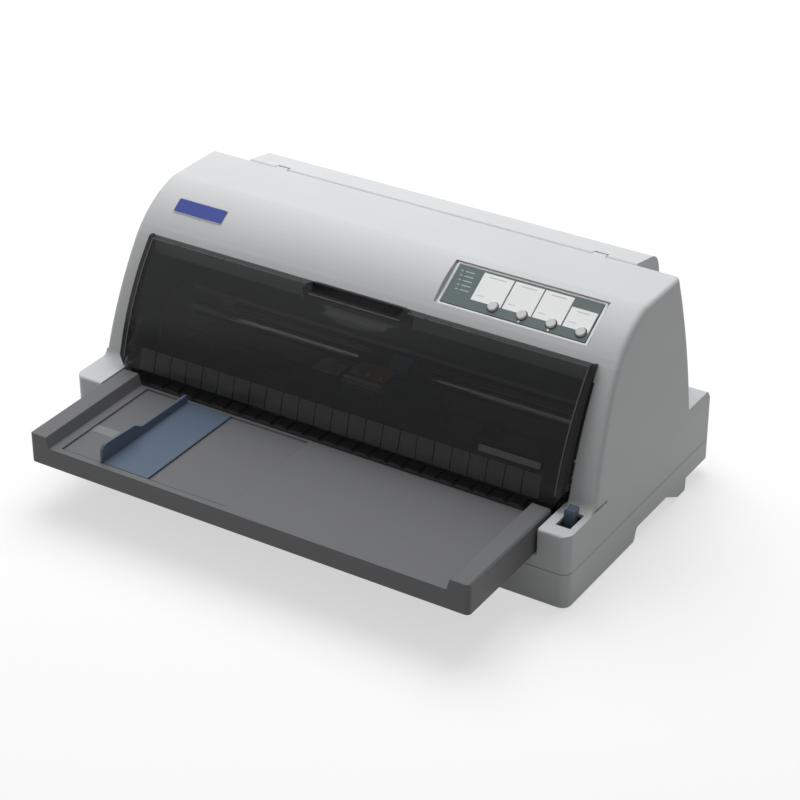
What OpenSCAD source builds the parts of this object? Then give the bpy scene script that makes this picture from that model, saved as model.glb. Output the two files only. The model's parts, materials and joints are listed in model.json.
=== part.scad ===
/* [Overall size] */
// Width of the casing across its foot
case_w = 480; // [470:2:510]
// Depth from the tray's front edge to the rear guide's back edge
total_d = 370; // [366:1:378]
// Height of the hood's flat top above the table
hood_h = 205; // [200:1:212]

/* [Casing] */
// Thickness of the moulded walls
wall = 3; // [2.4:0.2:3.4]
// How far the tray stands in front of the casing
tray_reach = 98; // [90:1:104]
// Depth of the casing over its lower edge
case_d = 252; // [248:1:256]
// Height of the line where the lower case meets the upper housing
parting_h = 32; // [30:0.5:34]
// Visible line between the two casings
parting_gap = 0.4; // [0.2:0.1:0.6]
// Height that the rubber feet lift the case off the table
foot_h = 1.5; // [1:0.5:2.5]
// How far the back half of the case stands off the table
rear_lift = 13; // [11:0.5:15]
// Distance from the case's front to the end of its low part
low_part_d = 113; // [108:1:118]
// Radius of the upright corners
corner_r = 8; // [5:0.5:9]
// Width of the four corner blocks
block_w = 27.5; // [26.5:0.5:30]
// Height of the two front corner blocks
front_block_h = 67.5; // [66:0.5:69]
// Depth of the front corner blocks, up to the hood
front_block_d = 42; // [40:0.5:46]
// Height of the two rear corner blocks
rear_block_h = 79; // [76:0.5:82]
// Bulge of the back at the parting line
back_bulge = 8; // [4:0.5:9]
// Radius of the hollow fillet between hood and front blocks
foot_fillet_r = 8; // [5:0.5:10]

/* [Hood] */
// Depth of the hood at its foot
hood_d = 168; // [164:1:172]
// How far the hood's back leans in at the top
hood_back_lean = 16; // [12:0.5:18]
// Width of the hood across its flat top
hood_top_w = 460; // [452:2:466]
// Lean from upright where the front rises from its foot
foot_lean = 13; // [11:0.5:15]
// Lean from upright where the shallow arc meets the tight one
shoulder_lean = 31; // [29:0.5:33]
// Lean from upright at the crease below the flat top
crest_lean = 78; // [76:0.5:80]
// Drop from the hood's top to where the shallow front arc meets the tight one
shoulder_drop = 39; // [35:1:43]
// Rounding of the hood's side edges
hood_edge_r = 4; // [2:0.5:5]
// Drop from the hood's top to the opening's upper edge
opening_drop = 45; // [42:1:49]

/* [Front cover] */
// Width of the hood's front beside the smoked cover
cheek_w = 25; // [23:0.5:26]
// Thickness of the smoked cover
cover_t = 2.5; // [2:0.25:3]
// Drop from the hood's top to the cover's upper edge
cover_drop = 32; // [30:0.5:34]
// Height of the cover's lower edge
cover_low_h = 72; // [71:0.5:74]
// Radius of the cover's arc, seen from the side
cover_arc_r = 230; // [220:2:250]
// How far the cover stands proud of the hood at its top
cover_proud_top = 6; // [5:0.5:8]
// How far it stands proud at its lower edge
cover_proud_low = 14; // [13:0.5:15]
// Width of the finger notch in the upper edge
notch_w = 84; // [70:1:100]
// Depth of the finger notch
notch_deep = 5; // [3:0.5:6]
// Height of the cover's hinge axis
hinge_h = 84; // [82:0.5:86]
// How far the hinge axis stands in front of the hood's surface
hinge_proud = 4; // [3.5:0.25:4.5]
// Gap between the cover and the sides of its opening
cover_gap = 1; // [0.6:0.1:1.4]
// Radius of the hinge pins
hinge_pin_r = 2.5; // [2:0.25:3]

/* [Rear cover] */
// Width of the rear cover
rear_cover_w = 380; // [370:2:388]
// Depth of its sloping top behind the hood
rear_top_d = 31; // [28:1:34]
// Drop of that top towards the back
rear_top_drop = 5.5; // [4:0.5:7]
// Radius where the top rolls over to the back
rear_roll_r = 16; // [12:1:20]
// Height of the rear cover's lower edge
rear_cover_low_h = 92; // [90:1:98]

/* [Front tray and edge guide] */
// Clearance between the tray and each front block
tray_gap = 3; // [2:0.5:5.5]
// Height of the tray's underside
tray_low_h = 43; // [42:0.5:44]
// Height of the tray's floor
tray_floor_h = 60; // [59.5:0.25:60.5]
// Height of the two side rails
rail_h = 70; // [69:0.5:70.5]
// Width of each side rail
rail_w = 17; // [15:0.5:19]
// How far the rails run in beside the corner blocks
rail_tuck = 27; // [25:0.5:30]
// Thickness of the tray's walls
tray_wall = 2.2; // [1.8:0.2:2.6]
// Depth of the recess that the edge guide slides in
recess_deep = 1.6; // [1.2:0.2:1.8]
// Width of the recess across the tray
recess_w = 165; // [150:1:180]
// Place of the fence, left of the middle
fence_x = 140; // [130:1:144]
// Width of the edge guide's plate
guide_w = 46; // [40:1:50]
// Height of the fence's front hump above the floor
hump_h = 15.5; // [12:0.5:18]
// Height of the fence behind the hump
fence_h = 7; // [5:0.5:8]

/* [Control panel] */
// Width of the panel plate
panel_w = 132; // [130:1:140]
// Place of the panel's middle, right of the middle
panel_x = 131; // [120:1:136]
// Length of the panel plate up the slope
panel_l = 37; // [36:0.5:39]
// Depth of the pocket that the plate lies in
panel_deep = 2; // [1.5:0.25:2.5]
// Distance between the push buttons
button_pitch = 26.5; // [24:0.5:28]
// Radius of the push buttons
button_r = 4.2; // [3.5:0.1:4.6]
// Travel of the push buttons
button_travel = 1; // [0.8:0.1:1.2]

/* [Paper path] */
// Height of the paper as it passes through
paper_h = 63; // [62.5:0.25:63.5]
// Distance of the print line behind the casing's front
print_line_d = 87; // [86:0.5:88]
// Radius of the feed rollers
feed_r = 9; // [8:0.25:9.5]
// Distance of the front rollers from the print line
front_feed_d = 24; // [23:0.5:25]
// Distance of the rear rollers from the print line
rear_feed_d = 28; // [27:0.5:29]
// Radius of the pinch rollers
pinch_r = 5; // [4:0.25:5]
// Radius of the roller shafts
shaft_r = 4; // [3:0.25:4.5]
// Gap between rollers that press on the paper
nip = 0.3; // [0.2:0.05:0.4]
// Length of each rubber roller
roller_l = 18; // [12:1:22]
// Distance between the rubber rollers
roller_pitch = 54; // [50:1:56]

/* [Print head and carriage] */
// Radius of the carriage's guide shaft
guide_r = 6; // [5:0.25:6.5]
// Height of the guide shaft's axis
guide_h = 84; // [83:0.5:85]
// Distance of the guide shaft behind the print line
guide_d = 44; // [43:0.5:45]
// Rest place of the print head, right of the middle
head_x = 5; // [3:1:6]
// Height of the print head's top
head_top_h = 100; // [98:0.5:102]
// Pitch radius of the belt pulleys
pulley_r = 8; // [7:0.25:8.5]
// Height of the pulley axes
pulley_h = 98; // [97:0.5:98.5]
// Width of the timing belt
belt_w = 6; // [5:0.5:6.5]
// Clearance between sliding or turning parts
slack = 0.05; // [0.03:0.01:0.08]

/* [Gears] */
// Module of the gear teeth
gear_module = 1; // [1:0.01:1.01]
// Width of the gears
gear_w = 6; // [5:0.5:7]
// Teeth on each feed roller's gear
feed_teeth = 30; // [30:1:30]
// Teeth on the idler between the feed rollers
idler_teeth = 40; // [40:1:42]
// Teeth on each transfer gear
transfer_teeth = 28; // [28:1:28]
// Teeth on the tractor shaft's gear
tractor_teeth = 24; // [24:1:24]
// Teeth on the motor's pinion
pinion_teeth = 14; // [14:1:16]

/* [Tractors] */
// Place of the left row of pins, left of the middle
left_pins_x = 84.7; // [70:0.1:100]
// Place of the right row of pins, right of the middle
right_pins_x = 161.9; // [150:0.1:164]
// Pitch of the paper's sprocket holes
pin_pitch = 12.7; // [12.7:0.1:12.7]
// Pitch radius of the pin belt's sprockets
sprocket_r = 7.2; // [7:0.1:7.4]
// Width of the pin belt
pin_belt_w = 5; // [4:0.5:6]

/* [Frame and feet] */
// Clearance between each side frame and the housing's inner wall
frame_gap = 7.5; // [6.5:0.25:8.5]
// Thickness of the sheet steel
sheet_t = 1.6; // [1.2:0.2:1.8]
// Radius of the rubber feet
foot_r = 6; // [5:0.25:6.25]

/* [Hidden] */

// Colours
case_grey = [0.74, 0.75, 0.74];
tray_grey = [0.36, 0.37, 0.37];
smoke = [0.12, 0.13, 0.13, 0.7];
guide_blue = [0.24, 0.34, 0.46];
steel = [0.62, 0.63, 0.65];
black = [0.13, 0.13, 0.14];
rubber = [0.10, 0.10, 0.10];
gear_white = [0.86, 0.85, 0.80];

// Places along Y, from the front to the back
tray_front_y = -total_d / 2;
guide_back_y = total_d / 2;
case_front_y = tray_front_y + tray_reach;
case_back_y = case_front_y + case_d - back_bulge;
hood_y = case_front_y + front_block_d;
hood_back_y = hood_y + hood_d;
hood_top_back_y = hood_back_y - hood_back_lean;
print_y = case_front_y + print_line_d;
front_feed_y = print_y - front_feed_d;
rear_feed_y = print_y + rear_feed_d;
guide_y = print_y + guide_d;
tractor_y = hood_back_y + 11;
// The pin belt's length is a whole number of pin pitches
pin_count = 7;
nose_y = tractor_y + (pin_count * pin_pitch - 2 * PI * sprocket_r) / 2;

// Places along X and Z
half_w = case_w / 2;
block_x = half_w - block_w;
tray_w = 2 * (block_x - tray_gap);
cover_w = case_w - 2 * cheek_w;
frame_x = block_x - frame_gap;
shoulder_h = hood_h - shoulder_drop;
opening_top_h = hood_h - opening_drop;
cover_top_h = hood_h - cover_drop;
frame_in_x = frame_x - sheet_t;
feed_h = paper_h - feed_r;
pinch_h = paper_h + nip + pinch_r;
floor_h = foot_h + wall;
rear_floor_h = rear_lift + wall;

// The hood's front: a long shallow arc, then a tight one up to the crease
low_arc_r = (shoulder_h - front_block_h) / (sin(shoulder_lean) - sin(foot_lean));
low_arc_c = [hood_y + low_arc_r * cos(foot_lean), front_block_h - low_arc_r * sin(foot_lean)];
shoulder = low_arc_c + low_arc_r * [-cos(shoulder_lean), sin(shoulder_lean)];
high_arc_r = (hood_h - shoulder_h) / (sin(crest_lean) - sin(shoulder_lean));
high_arc_c = shoulder + high_arc_r * [cos(shoulder_lean), -sin(shoulder_lean)];
// The hood's back: one shallow arc that is upright at the rear blocks' height
back_rise = hood_h - rear_block_h;
back_arc_r = (back_rise * back_rise + hood_back_lean * hood_back_lean) / (2 * hood_back_lean);
back_arc_a = asin(back_rise / back_arc_r);
draft = (case_w - hood_top_w) / 2 / (hood_h - front_block_h);

function lean_arc(c, r, a, b, n) =
    [for (i = [0:n]) let (t = a + (b - a) * i / n) c + r * [-cos(t), sin(t)]];
function round_arc(c, r, a, b, n) =
    [for (i = [0:n]) let (t = a + (b - a) * i / n) c + r * [cos(t), sin(t)]];
function tail(list) = [for (i = [1:len(list) - 1]) list[i]];
// Y of the hood's front at a height
function hood_front_at(z) = z < shoulder_h
    ? low_arc_c.x - sqrt(low_arc_r * low_arc_r - pow(z - low_arc_c.y, 2))
    : high_arc_c.x - sqrt(high_arc_r * high_arc_r - pow(z - high_arc_c.y, 2));
function hood_front(inset) = concat(
    lean_arc(low_arc_c, low_arc_r - inset, foot_lean, shoulder_lean, 8),
    tail(lean_arc(high_arc_c, high_arc_r - inset, shoulder_lean, crest_lean, 10)));
function hood_back(inset) = round_arc([hood_back_y - back_arc_r, rear_block_h],
                                      back_arc_r - inset, back_arc_a, 0, 6);
// Side view of the hood above the front blocks, shrunk by an inset
function hood_side(inset) = concat(
    hood_front(inset),
    [[hood_top_back_y - inset, hood_h - inset]],
    tail(hood_back(inset)),
    [[hood_back_y - inset, front_block_h - hood_edge_r * 2]]);
// Half width of the hood at a height
function hood_half(z) = half_w - draft * (z - front_block_h);

// Parts drawn in side view, front view and plan
module along_x(x0, x1) translate([x0, 0, 0]) rotate([90, 0, 90]) linear_extrude(x1 - x0) children();
module along_y(y0, y1) translate([0, y1, 0]) rotate([90, 0, 0]) linear_extrude(y1 - y0) children();
module along_z(z0, z1) translate([0, 0, z0]) linear_extrude(z1 - z0) children();
module span(low, high) translate(low) cube(high - low);
module rod_x(x0, x1, y, z, r) translate([x0, y, z]) rotate([0, 90, 0]) cylinder(r = r, h = x1 - x0, $fn = 48);
module rod_y(x, y0, y1, z, r) translate([x, y0, z]) rotate([-90, 0, 0]) cylinder(r = r, h = y1 - y0, $fn = 48);
module rod_z(x, y, z0, z1, r) translate([x, y, z0]) cylinder(r = r, h = z1 - z0, $fn = 40);
module both_sides() { children(); mirror([1, 0, 0]) children(); }

// Plan of the casing with its round upright corners
module case_plan(inset) {
    r = corner_r - inset;
    x = half_w - corner_r;
    y0 = case_front_y + corner_r;
    y1 = case_back_y + back_bulge - corner_r;
    polygon(concat(
        round_arc([-x, y0], r, 180, 270, 6), round_arc([x, y0], r, 270, 360, 6),
        round_arc([x, y1], r, 0, 90, 6), round_arc([-x, y1], r, 90, 180, 6)));
}

// Side view of the casing's back: it bulges from its foot to the rear blocks' tops
back_mid_h = parting_h + 7;
function back_bow(z, inset) = case_back_y - inset
    + back_bulge * (1 - pow((z - back_mid_h) / (rear_block_h - back_mid_h), 2));
function back_line(z0, z1, inset) =
    [for (i = [0:8]) let (z = z0 + (z1 - z0) * i / 8) [back_bow(z, inset), z]];

// Lower case: open tray with a low front half and a lifted back half
low_end_y = case_front_y + low_part_d;
belly = concat([[case_front_y, foot_h]],
    [for (i = [0:8]) let (t = i / 8)
        [low_end_y + rear_lift / 2 * t, foot_h + (rear_lift - foot_h) * (1 - cos(180 * t)) / 2]]);
module lower_side(top) polygon(concat(belly, back_line(rear_lift, top, 0), [[case_front_y, top]]));

// The back's low wall between the rear blocks carries the sockets
apron_x = block_x - 1;
apron_h = 42;
socket_h = 30;
inlet_x = -150;
inlet_w = 28;
inlet_open_h = 20;
port_x = [60, 128, 168];
port_w = [54, 12, 31];
port_open_h = 11;
screw_r = 1.5;
screw_head_r = 3.4;
screw_head_h = 2;
boss_r = 6;
boss_xy = [[half_w - 14, case_front_y + 11], [half_w - 14, case_back_y - 14]];
front_boss_h = parting_h + 14;
screw_seat_h = rear_lift + 3;
board_h = rear_floor_h + 4;
board_t = 1.6;
board_y0 = low_end_y + 14;
board_y1 = case_back_y - wall - 2;
post_xy = [for (x = [40, 170]) for (y = [board_y0 + 8, board_y1 - 20]) [x, y]];

module lower_case() color(case_grey) difference() {
    union() {
        difference() {
            intersection() {
                along_x(-half_w, half_w) lower_side(parting_h);
                along_z(0, parting_h) case_plan(0);
            }
            intersection() {
                along_x(-half_w + wall, half_w - wall) offset(delta = -wall) lower_side(parting_h + wall + 1);
                along_z(0, parting_h + 1) case_plan(wall);
            }
        }
        along_x(-apron_x, apron_x) polygon(concat(
            back_line(parting_h - 2, apron_h, 0),
            [[case_back_y - wall, apron_h], [case_back_y - wall, parting_h - 2]]));
        both_sides() for (p = boss_xy)
            rod_z(p.x, p.y, (p.y < low_end_y ? foot_h : rear_lift) + 1, parting_h, boss_r);
        both_sides() for (p = post_xy) rod_z(p.x, p.y, rear_lift + 1, board_h, 3.5);
        both_sides() rear_leg();
    }
    both_sides() for (p = boss_xy) {
        rod_z(p.x, p.y, -1, parting_h + 1, screw_r + 0.15);
        rod_z(p.x, p.y, -1, screw_seat_h, screw_head_r + 0.3);
    }
    span([inlet_x - inlet_w / 2, case_back_y - 20, socket_h - inlet_open_h / 2],
         [inlet_x + inlet_w / 2, case_back_y + 20, socket_h + inlet_open_h / 2]);
    for (i = [0:len(port_x) - 1])
        span([port_x[i] - port_w[i] / 2, case_back_y - 20, socket_h - port_open_h / 2],
             [port_x[i] + port_w[i] / 2, case_back_y + 20, socket_h + port_open_h / 2]);
    // Cooling slots in the floor under the boards
    for (i = [-6:6])
        span([i * 14 - 3, low_end_y + 40, 0], [i * 14 + 3, low_end_y + 75, rear_floor_h + 1]);
}
leg_w = 22;
module rear_leg() along_x(half_w - leg_w, half_w) polygon([
    [hood_back_y - 38, rear_lift + 1], [hood_back_y - 38, rear_lift], [hood_back_y - 32, rear_lift - 3.4],
    [hood_back_y - 16, foot_h], [hood_back_y - 3, foot_h], [hood_back_y - 2, rear_lift + 1]]);

// Upper housing: blocks, hood and skirt in one moulding
skirt_h = parting_h + parting_gap;
shelf_h = tray_low_h;
sill_h = 55;
opening_x = cover_w / 2 + cover_gap;
module hood_ring(inset, x)
    multmatrix([[1, 0, -draft, x + draft * front_block_h], [0, 1, 0, 0], [0, 0, 1, 0]])
        along_x(-0.01, 0) offset(delta = -inset) polygon(hood_side(0));
module hood_solid() intersection() {
    hull() both_sides() for (i = [0:3]) let (t = i * 30)
        hood_ring(hood_edge_r * (1 - cos(t)), half_w - hood_edge_r * (1 - sin(t)));
    span([-half_w, case_front_y, skirt_h], [half_w, case_back_y, hood_h + 1]);
}
module hood_hollow() intersection() {
    along_x(-half_w, half_w) polygon(hood_side(wall));
    along_y(hood_y, hood_back_y) polygon([
        [-half_w + wall, front_block_h - 3], [half_w - wall, front_block_h - 3],
        [hood_top_w / 2 - wall, hood_h], [-hood_top_w / 2 + wall, hood_h]]);
}
hip_y = hood_y + 20;
module base_solid() intersection() {
    along_x(-half_w, half_w) polygon(concat(
        [[case_front_y, skirt_h]],
        round_arc([case_front_y + 2.5, front_block_h - 2.5], 2.5, 180, 90, 3),
        [[hip_y, front_block_h], [hip_y, rear_block_h]],
        round_arc([back_bow(rear_block_h, 0) - 3, rear_block_h - 3], 3, 90, 20, 3),
        back_line(rear_block_h - 6, skirt_h, 0)));
    along_z(skirt_h, rear_block_h) case_plan(0);
    // Above the front blocks its sides lean in with the hood's
    along_y(case_front_y - 1, case_back_y + back_bulge + 1) polygon([
        [-half_w, skirt_h], [half_w, skirt_h], [half_w, front_block_h],
        [hood_half(rear_block_h), rear_block_h], [-hood_half(rear_block_h), rear_block_h], [-half_w, front_block_h]]);
}
module base_hollow() intersection() {
    along_x(-half_w + wall, half_w - wall) polygon(concat(
        [[hood_y, skirt_h - 1], [hood_y, front_block_h - wall], [hip_y + wall, front_block_h - wall],
         [hip_y + wall, rear_block_h - wall]],
        back_line(rear_block_h - wall, skirt_h - 1, wall)));
    along_z(skirt_h - 1, rear_block_h) case_plan(wall);
}
// Hollow fillet where the hood rises from the front blocks
fillet_c = [hood_y - foot_fillet_r * (1 - sin(foot_lean)) / cos(foot_lean),
            front_block_h + foot_fillet_r];
module foot_fillet() along_x(opening_x, half_w - 1) polygon(concat(
    [[hood_y + 2, front_block_h - 1], [fillet_c.x, front_block_h - 1]],
    round_arc(fillet_c, foot_fillet_r, -90, -foot_lean, 6),
    [[hood_y + 4, front_block_h + foot_fillet_r - 2]]));

// The control panel lies in a flat pocket under the tight arc
pocket_low = [hood_front_at(hood_h - 23.7), hood_h - 23.7];
pocket_top = [hood_front_at(hood_h - 1.8), hood_h - 1.8];
panel_mid = (pocket_low + pocket_top) / 2;
panel_tilt = atan2(pocket_top.y - pocket_low.y, pocket_top.x - pocket_low.x);
panel_rim = 4.2;
plate_t = 1.2;
first_button_x = -20.6;
button_drop = 11;
light_drop = 17;
cap_rise = 2.2;
collar_t = 1.5;
panel_board_drop = panel_deep + wall + 1.5;
pocket_l = norm(pocket_top - pocket_low);
module on_panel()
    translate([panel_x, panel_mid.x, panel_mid.y]) rotate([panel_tilt, 0, 0]) children();
module at_button(i) on_panel()
    translate([first_button_x + i * button_pitch, -button_drop, 0]) children();
module panel_pocket() on_panel()
    span([-panel_w / 2 - panel_rim, -pocket_l / 2, -panel_deep],
         [panel_w / 2 + panel_rim, pocket_l / 2, 12]);
module panel_backing() {
    intersection() {
        on_panel() span([-panel_w / 2 - panel_rim - wall, -pocket_l / 2 - wall, -panel_deep - wall],
                        [panel_w / 2 + panel_rim + wall, pocket_l / 2 + wall, 12]);
        along_x(-half_w, half_w) polygon(hood_side(1));
    }
    on_panel() for (x = [-48, 60]) for (y = [-14, 2])
        translate([x, y, -panel_board_drop]) cylinder(r = 2.5, h = 2, $fn = 24);
}

// Finger scoop behind the cover's notch
scoop_x = -4;
scoop_r = 12;
scoop_h = cover_top_h - 9;
scoop_y = hood_front_at(scoop_h) - 3;
module scoop_cut() {
    rod_x(scoop_x - notch_w / 2, scoop_x + notch_w / 2, scoop_y, scoop_h, scoop_r);
    for (s = [-1, 1])
        translate([scoop_x + s * notch_w / 2, scoop_y, scoop_h]) sphere(r = scoop_r, $fn = 48);
}
module scoop_backing() intersection() {
    along_x(-half_w, half_w) polygon(hood_side(1));
    rod_x(scoop_x - notch_w / 2 - scoop_r - 2, scoop_x + notch_w / 2 + scoop_r + 2,
          scoop_y, scoop_h, scoop_r + wall);
}
// Opening behind the front cover, with a tongue in its upper edge under the scoop
tongue_w = notch_w + 34;
tongue_deep = 13;
module front_opening() {
    along_y(hood_y - wall - 1, hood_y + 60) difference() {
        polygon([[-block_x, sill_h], [block_x, sill_h], [block_x, front_block_h],
                 [opening_x, front_block_h], [opening_x, opening_top_h],
                 [-opening_x, opening_top_h], [-opening_x, front_block_h],
                 [-block_x, front_block_h]]);
        polygon([for (i = [0:14]) let (t = i / 14)
            [scoop_x + tongue_w * (t - 0.5), opening_top_h + 1 - tongue_deep * sin(180 * t)]]);
    }
}

// Hinge ears inside the cover's cheeks: each arm runs back and up to a web behind the hood
hinge_y = hood_front_at(hinge_h) - hinge_proud;
ear_x1 = cover_w / 2 - cover_t - 0.4;
ear_x0 = ear_x1 - 4;
ear_end = [hood_front_at(hinge_h + 14) + wall, hinge_h + 14];
module cover_ear() {
    along_x(ear_x0, ear_x1) union() {
        translate([hinge_y, hinge_h]) circle(r = hinge_pin_r + 2, $fn = 32);
        polygon([[hinge_y, hinge_h - hinge_pin_r - 1.9], [hinge_y, hinge_h + hinge_pin_r + 1.9],
                 ear_end + [3, 5], ear_end + [6, -6]]);
    }
    along_x(ear_x0, opening_x + 4) polygon([
        ear_end + [-1, 5], ear_end + [5, 5], ear_end + [6, -6], ear_end + [-2.5, -6]]);
    rod_x(ear_x1 - 0.5, cover_w / 2 - 0.2, hinge_y, hinge_h, hinge_pin_r);
}

// Release lever: post, pin and slot in the right front block
lever_x = half_w - 12.5;
lever_y = case_front_y + 25;
lever_h = 38;
lever_w = 11;
lever_pin_r = 2.5;
slot_l = 22.5;
module lever_pin() {
    rod_x(block_x + wall - 0.5, lever_x - lever_w / 2 - nip, lever_y, lever_h, 5);
    rod_x(block_x + wall, lever_x + lever_w / 2 + 1, lever_y, lever_h, lever_pin_r);
}
module lever_slot()
    span([lever_x - lever_w / 2 - 1, lever_y - slot_l / 2 - 0.5, front_block_h - wall - 1],
         [lever_x + lever_w / 2 + 1, lever_y + slot_l / 2 - 0.5, front_block_h + 1]);

// Power switch: rocker in a box behind the left side
switch_y = case_front_y + 70;
switch_h = 50;
switch_l = 20;
switch_w = 13;
rocker_pin_r = 1.5;
rocker_x = -half_w + wall + 2.5;
rocker_lean = 7;
module switch_box() difference() {
    span([-half_w + 1, switch_y - switch_l / 2 - 2, switch_h - switch_w / 2 - 2],
         [rocker_x + 7, switch_y + switch_l / 2 + 2, switch_h + switch_w / 2 + 2]);
    span([-half_w - 1, switch_y - switch_l / 2, switch_h - switch_w / 2],
         [rocker_x + 5.5, switch_y + switch_l / 2, switch_h + switch_w / 2]);
}
module switch_cut() difference() {
    span([-half_w - 1, switch_y - switch_l / 2, switch_h - switch_w / 2],
         [rocker_x + 5.5, switch_y + switch_l / 2, switch_h + switch_w / 2]);
    rod_z(rocker_x, switch_y, switch_h - switch_w / 2 - 1, switch_h + switch_w / 2 + 1, rocker_pin_r);
}
module power_switch() color(black) difference() {
    translate([rocker_x, switch_y, 0]) rotate([0, 0, rocker_lean])
        along_z(switch_h - switch_w / 2 + nip, switch_h + switch_w / 2 - nip) polygon([
            [-3.6, 0], [-4.4, switch_l / 2 - 1.4], [-1, switch_l / 2 - 1.4], [3, 3],
            [3, -3], [-1, -switch_l / 2 + 1.4], [-4.4, -switch_l / 2 + 1.4]]);
    rod_z(rocker_x, switch_y, 0, switch_h * 2, rocker_pin_r + slack);
}

// Rear cover hinge: two lugs on the hood's back edge carry a pin each
rear_gap = 1;
rear_y0 = hood_top_back_y + rear_gap;
knuckle_r = 2.5;
knuckle_y = rear_y0 + knuckle_r;
knuckle_h = hood_h - knuckle_r;
lug_x = 150;
lug_w = 12;
rear_pin_r = 1.2;
module rear_lug() {
    along_x(lug_x, lug_x + lug_w) union() {
        translate([knuckle_y, knuckle_h]) circle(r = knuckle_r - 0.1, $fn = 24);
        polygon([[hood_top_back_y - 2, knuckle_h - knuckle_r + 0.1], [knuckle_y, knuckle_h - knuckle_r + 0.1],
                 [knuckle_y, knuckle_h + knuckle_r - 0.1], [hood_top_back_y - 2, knuckle_h + knuckle_r - 0.1]]);
    }
    rod_x(lug_x - 5, lug_x + lug_w + 5, knuckle_y, knuckle_h, rear_pin_r);
}

rear_window_x = rear_cover_w / 2 - 8;
module upper_housing() color(case_grey) difference() {
    union() {
        difference() {
            union() {
                hood_solid();
                base_solid();
                both_sides() foot_fillet();
            }
            hood_hollow();
            base_hollow();
            both_sides() span([block_x + wall, case_front_y + wall, skirt_h - 1],
                              [half_w - wall, hood_y + 1, front_block_h - wall]);
            span([-block_x + wall, case_front_y + wall, skirt_h - 1],
                 [block_x - wall, hood_y - wall, shelf_h - wall]);
            // Space for the tray between the front blocks, and for the tractors at the back
            span([-block_x, case_front_y - 1, shelf_h], [block_x, hood_y - wall, front_block_h + 20]);
            span([-block_x, hood_back_y, skirt_h - 1],
                 [block_x, case_back_y + back_bulge + 1, rear_block_h + 1]);
        }
        both_sides() {
            intersection() {
                base_solid();
                span([block_x, hood_back_y - wall, skirt_h], [block_x + wall, guide_back_y, rear_block_h]);
            }
            cover_ear();
            rear_lug();
            for (p = boss_xy)
                rod_z(p.x, p.y, skirt_h, p.y < low_end_y ? front_boss_h : rear_block_h - 1, boss_r);
            span([boss_xy[0].x - 1, case_front_y + 1, skirt_h], [boss_xy[0].x + 1, boss_xy[0].y, front_boss_h]);
        }
        panel_backing();
        scoop_backing();
        lever_pin();
        switch_box();
    }
    difference() {
        front_opening();
        both_sides() cover_ear();
    }
    scoop_cut();
    panel_pocket();
    for (i = [0:3]) at_button(i) translate([0, 0, -20]) cylinder(r = button_r + 0.9, h = 30, $fn = 36);
    for (i = [1, 2]) at_button(i) translate([0, button_drop - light_drop, -20]) cylinder(r = 1.2, h = 30, $fn = 24);
    // Openings at the back: paper slot below, reach to the tractors above
    span([-rear_window_x, hood_back_y - 30, -1], [rear_window_x, hood_back_y + 10, rear_block_h + 12]);
    span([-rear_window_x, hood_top_back_y - 8, rear_block_h + 11],
         [rear_window_x, hood_back_y + 10, hood_h - 20]);
    lever_slot();
    switch_cut();
    both_sides() for (p = boss_xy) rod_z(p.x, p.y, skirt_h - 1, skirt_h + 12, screw_r + slack);
    both_sides() rod_x(block_x - 1, block_x + wall + 1, tractor_y, feed_h, shaft_r + slack);
    both_sides() rod_x(block_x - 1, block_x + wall + 1, nose_y, feed_h, tractor_rod_r + slack);
}

// Rear cover: rolls over from the hood's top and down over the tractors
rear_slope = atan(rear_top_drop / rear_top_d);
rear_fall = 76;
roll_c = [rear_y0 + rear_top_d - rear_roll_r * 0.35, hood_h - rear_top_drop - rear_roll_r + 1];
function hood_back_at(z) = hood_back_y - back_arc_r
    + sqrt(back_arc_r * back_arc_r - pow(z - rear_block_h, 2));
function rear_skin(inset) = let (
        r = rear_roll_r - inset,
        e = roll_c + r * [cos(90 - rear_fall), sin(90 - rear_fall)])
    concat([[rear_y0 + knuckle_r, hood_h - inset]],
           round_arc(roll_c, r, 90 - rear_slope, 90 - rear_fall, 8),
           [[e.x + (e.y - rear_cover_low_h) / tan(rear_fall), rear_cover_low_h]]);
module rear_cover() color(case_grey) difference() {
    union() {
        along_x(-rear_cover_w / 2, rear_cover_w / 2) polygon(concat(
            rear_skin(0), [for (i = [9:-1:0]) rear_skin(wall)[i]]));
        rod_x(-rear_cover_w / 2, rear_cover_w / 2, knuckle_y, knuckle_h, knuckle_r);
        // Side cheeks, clear of the hood's back
        both_sides() along_x(rear_cover_w / 2 - wall, rear_cover_w / 2) polygon(concat(
            rear_skin(0),
            [for (i = [0:6]) let (z = rear_cover_low_h + (knuckle_h - knuckle_r - rear_cover_low_h) * i / 6)
                [hood_back_at(z) + rear_gap, z]]));
        // Stiffening ribs under the skin
        for (x = [-90, 0, 90]) along_x(x - 1, x + 1) polygon(concat(
            [for (i = [2:9]) rear_skin(1)[i]], [for (i = [9:-1:2]) rear_skin(wall + 6)[i]]));
    }
    both_sides() {
        span([lug_x - 0.4, knuckle_y - 4, knuckle_h - 4],
             [lug_x + lug_w + 0.4, knuckle_y + knuckle_r + 0.6, knuckle_h + 4]);
        rod_x(lug_x - 6, lug_x + lug_w + 6, knuckle_y, knuckle_h, rear_pin_r + slack);
    }
}

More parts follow.
